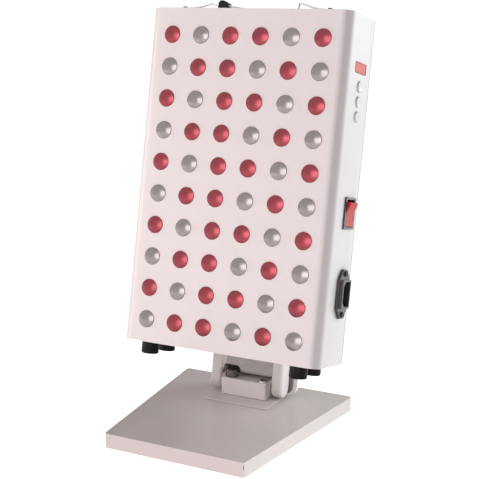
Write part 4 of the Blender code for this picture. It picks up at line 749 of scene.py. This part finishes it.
def build_lever():
    """The rocker's hollow-faced lever, its upper end out, on its two pins."""
    half = LEVER_LENGTH / 2
    end = LEVER_END_RISE + LEVER_AXIS_SINK
    waist = LEVER_WAIST_RISE + LEVER_AXIS_SINK
    corners = [(end, half), (waist, 0), (end, -half), (-LEVER_PIN_RADIUS, -half),
               (-LEVER_AXIS_SINK, -half / 2), (-LEVER_AXIS_SINK, half / 2), (-LEVER_PIN_RADIUS, half)]
    outline = rounded(corners, [LEVER_WAIST_RISE, 2 * half, LEVER_WAIST_RISE, 0, 0, 0, 0], steps=12)
    shape = bmesh.new()
    prism_into(shape, outline, -LEVER_WIDTH / 2, LEVER_WIDTH / 2)
    pins = bmesh.new()
    turn_into(pins, [(0, -LEVER_PIN_HALF), (LEVER_PIN_RADIUS, -LEVER_PIN_HALF),
                     (LEVER_PIN_RADIUS, LEVER_PIN_HALF), (0, LEVER_PIN_HALF)], UNTURNED, LEVER_PIN_SIDES)
    mesh = carved("lever", mesh_of(shape, "lever_body"), [mesh_of(pins, "lever_pins")], "UNION")
    centre = PANEL.inverted() @ Vector(JOINTS["power_rocker"]["pos_m"])
    place = PANEL @ Matrix.Translation(centre) @ Matrix.Rotation(LEVER_SWING, 4, "Y") @ TO_FRONT
    lever = piece("switch_lever", mesh, lever_plastic, "rocker_lever", place, ["rocker_lever"])
    soften(lever, LEVER_EDGE, segments=3)


# Wire, feet and fixings

WIRE_RADIUS = 0.0009
WIRE_STRANDS = 3
WIRE_STRAND_SHARE = 0.54
WIRE_STRAND_SIDES = 8
WIRE_TWIST_LENGTH = 0.0060
WIRE_STEPS = 28
EYE_DEPTH = 0.0165
EYE_RISE = 0.0040
EYE_RADIUS = 0.0024
EYE_STEM_RADIUS = 0.0014
EYE_NECK_SHARE = 0.7
EYE_HEAD_SHARE = 0.45
EYE_DOME_SHARE = 0.6
EYE_RIM_SHARE = 0.8
EYE_SIDES = 32
WIRE_CREST_RISE = 0.0074
WIRE_REST_DEPTH = 0.0400
GRIPPER_DEPTH = 0.0120
GRIPPER_BORE_HEIGHT = 0.0038


def wire_route():
    """Points of the hanging wire from eye to eye: across, behind the face, above the top."""
    eye_low, eye_high = panel_box("wire_eye_right")
    grip_low, grip_high = panel_box("wire_gripper")
    eye = (eye_low.x + eye_high.x) / 2 - EYE_RADIUS - WIRE_RADIUS - SEAT_GAP
    low = WIRE_RADIUS + SEAT_GAP
    crest = WIRE_CREST_RISE
    start = EYE_RISE * 3 / 5
    bore = GRIPPER_BORE_HEIGHT
    far = WIRE_REST_DEPTH
    near = GRIPPER_DEPTH
    back = EYE_DEPTH
    return [(-eye, back, start), (-eye * 4 / 5, back, start * 5 / 3),
            (grip_low.x * 5 / 4, near, crest * 4 / 5), (grip_low.x, near, bore),
            (grip_high.x, near, bore), (grip_high.x / 2, near * 3 / 2, bore * 3 / 4),
            (0, far * 3 / 4, low * 3 / 2), (eye / 4, far, low), (eye / 2, far * 3 / 4, low * 2),
            (eye * 5 / 8, back, crest * 7 / 8), (eye * 2 / 3, near, crest),
            (eye * 5 / 6, back, start * 5 / 3), (eye, back, start)]


def smooth_line(points, steps):
    """A smooth line through a route's points, as even steps between them."""
    result = []
    last = len(points) - 1
    for index in range(last):
        before = Vector(points[max(index - 1, 0)])
        start = Vector(points[index])
        end = Vector(points[index + 1])
        after = Vector(points[min(index + 2, last)])
        for step in range(steps):
            share = step / steps
            pull = (2 * start + (end - before) * share
                    + (2 * before - 5 * start + 4 * end - after) * share ** 2
                    + (3 * start - before - 3 * end + after) * share ** 3)
            result.append(pull / 2)
    result.append(Vector(points[last]))
    return result


def build_wire():
    """A twisted wire of three strands along the hanging wire's route."""
    origin = Vector((0, FACE_Y, HOUSING_HIGH.z))
    line = [origin + point for point in smooth_line(wire_route(), WIRE_STEPS)]
    strand = WIRE_RADIUS * WIRE_STRAND_SHARE
    offset = WIRE_RADIUS - strand
    sides = WIRE_STRAND_SIDES
    shape = bmesh.new()
    for number in range(WIRE_STRANDS):
        travelled = 0
        rings = []
        for index, point in enumerate(line):
            if index:
                travelled += (point - line[index - 1]).length
            ahead = (line[min(index + 1, len(line) - 1)] - line[max(index - 1, 0)]).normalized()
            across = ahead.cross(Vector((0, 0, 1))).normalized()
            lift = across.cross(ahead)
            turn = 2 * math.pi * (travelled / WIRE_TWIST_LENGTH + number / WIRE_STRANDS)
            centre = point + (across * math.cos(turn) + lift * math.sin(turn)) * offset
            ring = []
            for side in range(sides):
                angle = 2 * math.pi * side / sides
                spot = centre + (across * math.cos(angle) + lift * math.sin(angle)) * strand
                ring.append(shape.verts.new(spot))
            rings.append(ring)
        shape.faces.new(rings[0])
        shape.faces.new(rings[-1])
        for first, second in zip(rings, rings[1:]):
            for side in range(sides):
                after = (side + 1) % sides
                shape.faces.new((first[side], first[after], second[after], second[side]))
    piece("twisted_wire", mesh_of(shape, "twisted_wire", smooth_angle=60), wire_steel, "panel",
          replaces=["hanging_wire"])


def build_eyes():
    """Each eye is a grooved post with a domed head, where the wire is hooked on."""
    neck = EYE_RADIUS * EYE_NECK_SHARE
    head = EYE_RISE * EYE_HEAD_SHARE
    dome = head * EYE_DOME_SHARE
    for side in ("left", "right"):
        low, high = panel_box("wire_eye_" + side)
        middle = (low + high) / 2
        stem = low.z - HOUSING_HIGH.z
        profile = [(0, stem), (EYE_STEM_RADIUS, stem), (EYE_STEM_RADIUS, SEAT_GAP), (EYE_RADIUS, SEAT_GAP),
                   (EYE_RADIUS, SEAT_GAP * 3), (neck, SEAT_GAP * 5), (neck, EYE_RISE - head),
                   (EYE_RADIUS, EYE_RISE - head * EYE_RIM_SHARE),
                   *arc(EYE_RADIUS - dome, EYE_RISE - dome, dome, 0, math.pi / 2, steps=5), (0, EYE_RISE)]
        place = Matrix.Translation((middle.x, middle.y, HOUSING_HIGH.z))
        piece("eye_post_" + side, turned("eye_post", profile, place, EYE_SIDES), black_steel, "panel",
              replaces=["wire_eye_" + side])


FOOT_HEIGHT = 0.0130
FOOT_RADIUS = 0.0090
FOOT_EDGE_RADIUS = 0.0016
FOOT_STEM_RADIUS = 0.0022
FOOT_RECESS_RADIUS = 0.0038
FOOT_RECESS_DEPTH = 0.0035


def build_feet():
    """Rubber bumpers with rounded rims and a hollow below."""
    edge = FOOT_EDGE_RADIUS
    for number in (1, 2, 3, 4):
        node = "bumper_foot_%d" % number
        low, high = panel_box(node)
        middle = (low + high) / 2
        top = FOOT_HEIGHT
        stem = high.z - low.z
        profile = [(0, FOOT_RECESS_DEPTH), (FOOT_RECESS_RADIUS, FOOT_RECESS_DEPTH),
                   *arc(FOOT_RECESS_RADIUS + edge / 2, edge / 2, edge / 2, math.pi, math.pi * 3 / 2, steps=4),
                   *arc(FOOT_RADIUS - edge, edge, edge, -math.pi / 2, 0, steps=6),
                   *arc(FOOT_RADIUS - edge / 2, top - edge / 2, edge / 2, 0, math.pi / 2, steps=4),
                   (FOOT_STEM_RADIUS, top), (FOOT_STEM_RADIUS, stem), (0, stem)]
        place = Matrix.Translation((middle.x, middle.y, low.z))
        piece("rubber_foot_%d" % number, turned("rubber_foot", profile, place), foot_rubber, "panel",
              replaces=[node])


HEAD_EDGE_SHARE = 0.4
RECESS_FLOOR_SHARE = 0.4
HEXAGON_SHARE = 0.5
CROSS_LENGTH_SHARE = 0.62
CROSS_WIDTH_SHARE = 0.17
SCREW_SIDES = 32
BOLT_LIMIT_SIDES = 64
BOLT_FLANGE_RIM_SHARE = 0.6
BOLT_FLANGE_TOP_SHARE = 0.9
BOLT_EDGE = 0.00025


def build_screw(node, body, place, turn, head, shank, drive, look):
    """A round-headed screw with a cross or hexagon recess, in its node's place."""
    head_radius, head_height = head
    low, high = panel_box(node, place)
    outward = turn.to_3x3() @ Vector((0, 0, 1))
    reach = abs((high - low).dot(outward)) / 2
    seat = (low + high) / 2 + outward * (reach - head_height)
    length = 2 * reach - head_height
    edge = head_height * HEAD_EDGE_SHARE
    profile = [(0, -length), (shank, -length), (shank, 0), (head_radius, 0),
               *arc(head_radius - edge, head_height - edge, edge, 0, math.pi / 2, steps=5), (0, head_height)]
    recess = bmesh.new()
    floor = head_height * RECESS_FLOOR_SHARE
    top = head_height + OVERRUN
    if drive == "hexagon":
        hexagon = head_radius * HEXAGON_SHARE
        turn_into(recess, [(hexagon, floor), (hexagon, top)], UNTURNED, sides=6)
    else:
        long = head_radius * CROSS_LENGTH_SHARE
        thin = head_radius * CROSS_WIDTH_SHARE
        box_into(recess, (-long, -thin, floor), (long, thin, top))
    tools = [mesh_of(recess, "recess")]
    if drive == "cross":
        second = bmesh.new()
        box_into(second, (-thin, -long, floor), (thin, long, top))
        tools.append(mesh_of(second, "recess"))
    mesh = carved("screw", turned("screw", profile, UNTURNED, SCREW_SIDES), tools)
    piece(node + "_recessed", mesh, look, body, place @ Matrix.Translation(seat) @ turn, [node])


PAN_HEAD = (0.0028, 0.0016)
CAP_HEAD = (0.0040, 0.0030)
BLOCK_HEAD = (0.0042, 0.0034)
THIN_SHANK = 0.0015
THICK_SHANK = 0.0019
BLOCK_SHANK = 0.0022
BOLT_HEX_RADIUS = 0.0062
BOLT_FLANGE_RADIUS = 0.0066
BOLT_HEAD_HEIGHT = 0.0075
BOLT_FLANGE = 0.0014
BOLT_SHANK = 0.0028
BOLT_CHAMFER = 0.0011


def build_bolt():
    """Flanged hexagon bolt with its corners turned off at the top."""
    low, high = panel_box("tension_bolt", STAND)
    middle = (low + high) / 2
    place = Matrix.Translation((middle.x, middle.y, high.z - BOLT_HEAD_HEIGHT))
    length = high.z - BOLT_HEAD_HEIGHT - low.z
    hexagon = bmesh.new()
    turn_into(hexagon, [(BOLT_HEX_RADIUS, BOLT_FLANGE / 2), (BOLT_HEX_RADIUS, BOLT_HEAD_HEIGHT)], UNTURNED,
              sides=6)
    limit = turned("limit", [(0, 0), (BOLT_HEX_RADIUS + BOLT_CHAMFER, 0),
                             (BOLT_HEX_RADIUS + BOLT_CHAMFER, BOLT_HEAD_HEIGHT - 2 * BOLT_CHAMFER),
                             (BOLT_HEX_RADIUS - BOLT_CHAMFER, BOLT_HEAD_HEIGHT), (0, BOLT_HEAD_HEIGHT)],
                   UNTURNED, BOLT_LIMIT_SIDES)
    head = carved("bolt_head", mesh_of(hexagon, "hexagon"), [limit], "INTERSECT", smooth_angle=20)
    flange = turned("flange", [(0, -length), (BOLT_SHANK, -length), (BOLT_SHANK, 0), (BOLT_FLANGE_RADIUS, 0),
                               (BOLT_FLANGE_RADIUS, BOLT_FLANGE * BOLT_FLANGE_RIM_SHARE),
                               (BOLT_HEX_RADIUS * BOLT_FLANGE_TOP_SHARE, BOLT_FLANGE), (0, BOLT_FLANGE)],
                    UNTURNED)
    mesh = carved("tension_bolt", head, [flange], "UNION", smooth_angle=20)
    bolt = piece("hexagon_bolt", mesh, bolt_steel, "stand", place, ["tension_bolt"])
    soften(bolt, BOLT_EDGE)


build_housing()
build_lenses()
build_buttons()
build_display()
build_lever()
build_wire()
build_eyes()
build_feet()
build_bolt()
for number in (1, 2, 3, 4):
    build_screw("cover_screw_%d" % number, "panel", PANEL, TO_BACK, PAN_HEAD, THIN_SHANK, "cross",
                plated_steel)
    build_screw("flange_screw_%d" % number, "panel", PANEL, TO_BACK, CAP_HEAD, THICK_SHANK, "hexagon",
                plated_steel)
for side in ("left", "right"):
    build_screw("stop_screw_" + side, "panel", PANEL, TO_BACK, CAP_HEAD, THICK_SHANK, "hexagon", plated_steel)
for side in ("low", "high"):
    build_screw("inlet_screw_" + side, "panel", PANEL, TO_SIDE, PAN_HEAD, THIN_SHANK, "cross", black_steel)
build_screw("block_screw", "stand", STAND, UNTURNED, BLOCK_HEAD, BLOCK_SHANK, "hexagon", plated_steel)


# Other nodes keep their shape. Each gets a material, and soft edges of the width beside it

SHARP = 0
FINE_EDGE = 0.0002
SMALL_EDGE = 0.0003
MIDDLE_EDGE = 0.0004
WIDE_EDGE = 0.0005
FRAME_EDGE = 0.0006
GRIPPER_EDGE = 0.0008
WELD_DISTANCE = 0.00001

KEPT = {
    "base_shell": (base_paint, SHARP), "ballast_plate": (black_steel, MIDDLE_EDGE),
    "hinge_foot_plate": (base_paint, MIDDLE_EDGE), "hinge_block": (cast_paint, MIDDLE_EDGE),
    "pivot_shaft": (plated_steel, SMALL_EDGE), "friction_washer_left": (washer_plastic, FINE_EDGE),
    "friction_washer_right": (washer_plastic, FINE_EDGE), "yoke": (yoke_shaded_paint, WIDE_EDGE),
    "stop_pad": (gap_shade_rubber, SMALL_EDGE), "stop_plate": (stop_paint, WIDE_EDGE),
    "nut_plate": (plated_steel, SMALL_EDGE), "rear_cover": (panel_paint, SHARP),
    "led_board": (board_white, SHARP), "heat_sink": (sink_aluminium, SHARP),
    "led_driver": (driver_aluminium, SHARP), "control_board": (board_lacquer, SHARP),
    "display_module": (fan_plastic, SMALL_EDGE), "rocker_body": (bezel_plastic, WIDE_EDGE),
    "inlet_body": (inlet_plastic, MIDDLE_EDGE), "wire_gripper": (gripper_plastic, GRIPPER_EDGE),
}
for number in (1, 2, 3, 4):
    KEPT["base_pad_%d" % number] = (pad_rubber, SMALL_EDGE)
for number in (1, 2, 3):
    KEPT["inlet_pin_%d" % number] = (nickel, SMALL_EDGE)
for number in (1, 2):
    KEPT["fan_frame_%d" % number] = (fan_plastic, FRAME_EDGE)
    KEPT["fan_rotor_%d" % number] = (fan_plastic, SMALL_EDGE)


def dress_node(name, look, width):
    """Gives a kept node its material and, where it has hard edges, soft ones."""
    item = frame["nodes"][name]
    item.data.materials.clear()
    item.data.materials.append(look)
    if width:
        weld = item.modifiers.new("Closed", "WELD")
        weld.merge_threshold = WELD_DISTANCE
        soften(item, width)


for name, (look, width) in KEPT.items():
    dress_node(name, look, width)

# Pieces that have a light of their own
STAND_PIECES = bpy.data.collections.new("stand_pieces")
for name in ("base_shell", "hinge_foot_plate", "hinge_block"):
    STAND_PIECES.objects.link(frame["nodes"][name])
ARM_PIECES = bpy.data.collections.new("arm_pieces")
for name in ("yoke", "stop_plate", "stop_pad"):
    ARM_PIECES.objects.link(frame["nodes"][name])


# Floor, light and camera

FLOOR_SIZE = 8.0
FLOOR_COLOUR = (0.92, 0.92, 0.92)
FLOOR_GLOW = 0.60
FLOOR_WHITE = 1.0
BACKDROP_WHITE = 1.05
AMBIENT = 0.08
AMBIENT_COLOUR = (1, 0.92, 0.92, 1)
PURE_WHITE = (1, 1, 1, 1)
PINK_WHITE = (1.0, 0.84, 0.84)
WARM_WHITE = (1.0, 0.96, 0.96)
COOL_WHITE = (0.945, 0.99, 1.0)
PANEL_CENTRE = PIVOT + Vector((0, 0, 0.16))
BASE_CENTRE = Vector((0, 0, 0.015))


def seen_directly(tree):
    """1 for what the camera sees, also in metal, gloss and glass, and 0 for light on the object."""
    rays = tree.nodes.new("ShaderNodeLightPath")
    value = rays.outputs["Is Camera Ray"]
    for kind in ("Is Glossy Ray", "Is Transmission Ray"):
        larger = tree.nodes.new("ShaderNodeMath")
        larger.operation = "MAXIMUM"
        tree.links.new(value, larger.inputs[0])
        tree.links.new(rays.outputs[kind], larger.inputs[1])
        value = larger.outputs["Value"]
    return value


def build_floor():
    """A pale floor that takes the object's shadow and shows white where there is none."""
    shape = bmesh.new()
    bmesh.ops.create_grid(shape, x_segments=1, y_segments=1, size=FLOOR_SIZE / 2)
    mesh = bpy.data.meshes.new("floor")
    shape.to_mesh(mesh)
    shape.free()
    look = Look("floor", FLOOR_COLOUR, roughness=0.9, specular=0.1)
    look.mottled(scale=2, amount=0.004)
    look.set("Emission Color", PURE_WHITE)
    look.link(look.spread(seen_directly(look.tree), FLOOR_GLOW, FLOOR_WHITE, 0, 1),
              look.shader.inputs["Emission Strength"])
    mesh.materials.append(look.material)
    floor = bpy.data.objects.new("floor", mesh)
    bpy.context.scene.collection.objects.link(floor)


def build_world():
    """Pure white behind the object, and a weaker even light on it."""
    world = bpy.data.worlds.new("studio")
    bpy.context.scene.world = world
    world.use_nodes = True
    tree = world.node_tree
    output = tree.nodes["World Output"]
    seen = tree.nodes["Background"]
    seen.inputs["Color"].default_value = PURE_WHITE
    seen.inputs["Strength"].default_value = BACKDROP_WHITE
    lit = tree.nodes.new("ShaderNodeBackground")
    lit.inputs["Color"].default_value = AMBIENT_COLOUR
    lit.inputs["Strength"].default_value = AMBIENT
    mix = tree.nodes.new("ShaderNodeMixShader")
    tree.links.new(seen_directly(tree), mix.inputs["Fac"])
    tree.links.new(lit.outputs["Background"], mix.inputs[1])
    tree.links.new(seen.outputs["Background"], mix.inputs[2])
    tree.links.new(mix.outputs["Shader"], output.inputs["Surface"])


def way_out(turn, rise):
    """Direction from the object toward a light or the camera; a turn of 0 is straight ahead of it."""
    return Vector((math.sin(turn) * math.cos(rise), -math.cos(turn) * math.cos(rise), math.sin(rise)))


def softbox(name, bearing, elevation, distance, width, height, brightness, colour=(1, 1, 1),
            aim=PANEL_CENTRE):
    """An area light on a sphere round its aim; brightness is its surface's radiance."""
    light = bpy.data.lights.new(name, "AREA")
    light.shape = "RECTANGLE"
    light.size = width
    light.size_y = height
    light.energy = brightness * math.pi * width * height
    light.color = colour
    item = bpy.data.objects.new(name, light)
    bpy.context.scene.collection.objects.link(item)
    back = way_out(math.radians(bearing), math.radians(elevation))
    item.location = aim + back * distance
    item.rotation_euler = back.to_track_quat("Z", "Y").to_euler()
    return item


def light_only(light, pieces):
    """Keeps a light for the pieces of one collection."""
    light.light_linking.receiver_collection = pieces


def light_others(light, pieces):
    """Keeps a light off the pieces of one collection."""
    others = bpy.data.collections.new(light.name + "_leaves_out")
    others.children.link(pieces)
    light.light_linking.receiver_collection = others
    others.collection_children[0].light_linking.link_state = "EXCLUDE"


def build_lights():
    """Front and right lights for the whole object, and lights for the lenses, stand and hinge arms alone."""
    left = softbox("front_left_light", bearing=-60, elevation=6.5, distance=1.7, width=2.2, height=0.5,
                   brightness=5.4, colour=PINK_WHITE)
    front = softbox("front_light", bearing=12, elevation=6.5, distance=1.8, width=0.8, height=0.3,
                    brightness=9.6, colour=PINK_WHITE)
    for light in (left, front):
        light_others(light, LENSES)
    softbox("right_back_light", bearing=134, elevation=15, distance=1.5, width=1.4, height=0.6,
            brightness=4.35, colour=COOL_WHITE)
    spot = softbox("lens_light", bearing=31, elevation=11, distance=1.6, width=1.7, height=1.2,
                   brightness=3.3, colour=WARM_WHITE)
    spot.visible_diffuse = False
    light_only(spot, LENSES)
    stand = softbox("stand_light", bearing=72, elevation=29, distance=0.46, width=0.2, height=0.2,
                    brightness=5.4, aim=BASE_CENTRE)
    light_only(stand, STAND_PIECES)
    arm = softbox("arm_light", bearing=86, elevation=10, distance=0.5, width=0.15, height=0.15,
                  brightness=23, aim=PIVOT)
    light_only(arm, ARM_PIECES)
    for light in (stand, arm):
        light.visible_camera = False


def build_camera():
    """The camera that was solved from the photograph."""
    back = way_out(VIEW_YAW, VIEW_PITCH)
    camera = bpy.data.objects.new("camera", bpy.data.cameras.new("camera"))
    bpy.context.scene.collection.objects.link(camera)
    camera.data.sensor_width = SENSOR_WIDTH_MM
    camera.data.lens = SENSOR_WIDTH_MM * FOCAL_LENGTH_PX / PHOTO_WIDTH_PX
    camera.location = PIVOT + VIEW_TARGET_FROM_PIVOT + back * VIEW_DISTANCE
    camera.rotation_euler = back.to_track_quat("Z", "Y").to_euler()
    camera.data.clip_start = 0.01
    camera.data.clip_end = 50
    bpy.context.scene.camera = camera


build_floor()
build_world()
build_lights()
build_camera()
bpy.context.scene.view_settings.view_transform = "Standard"
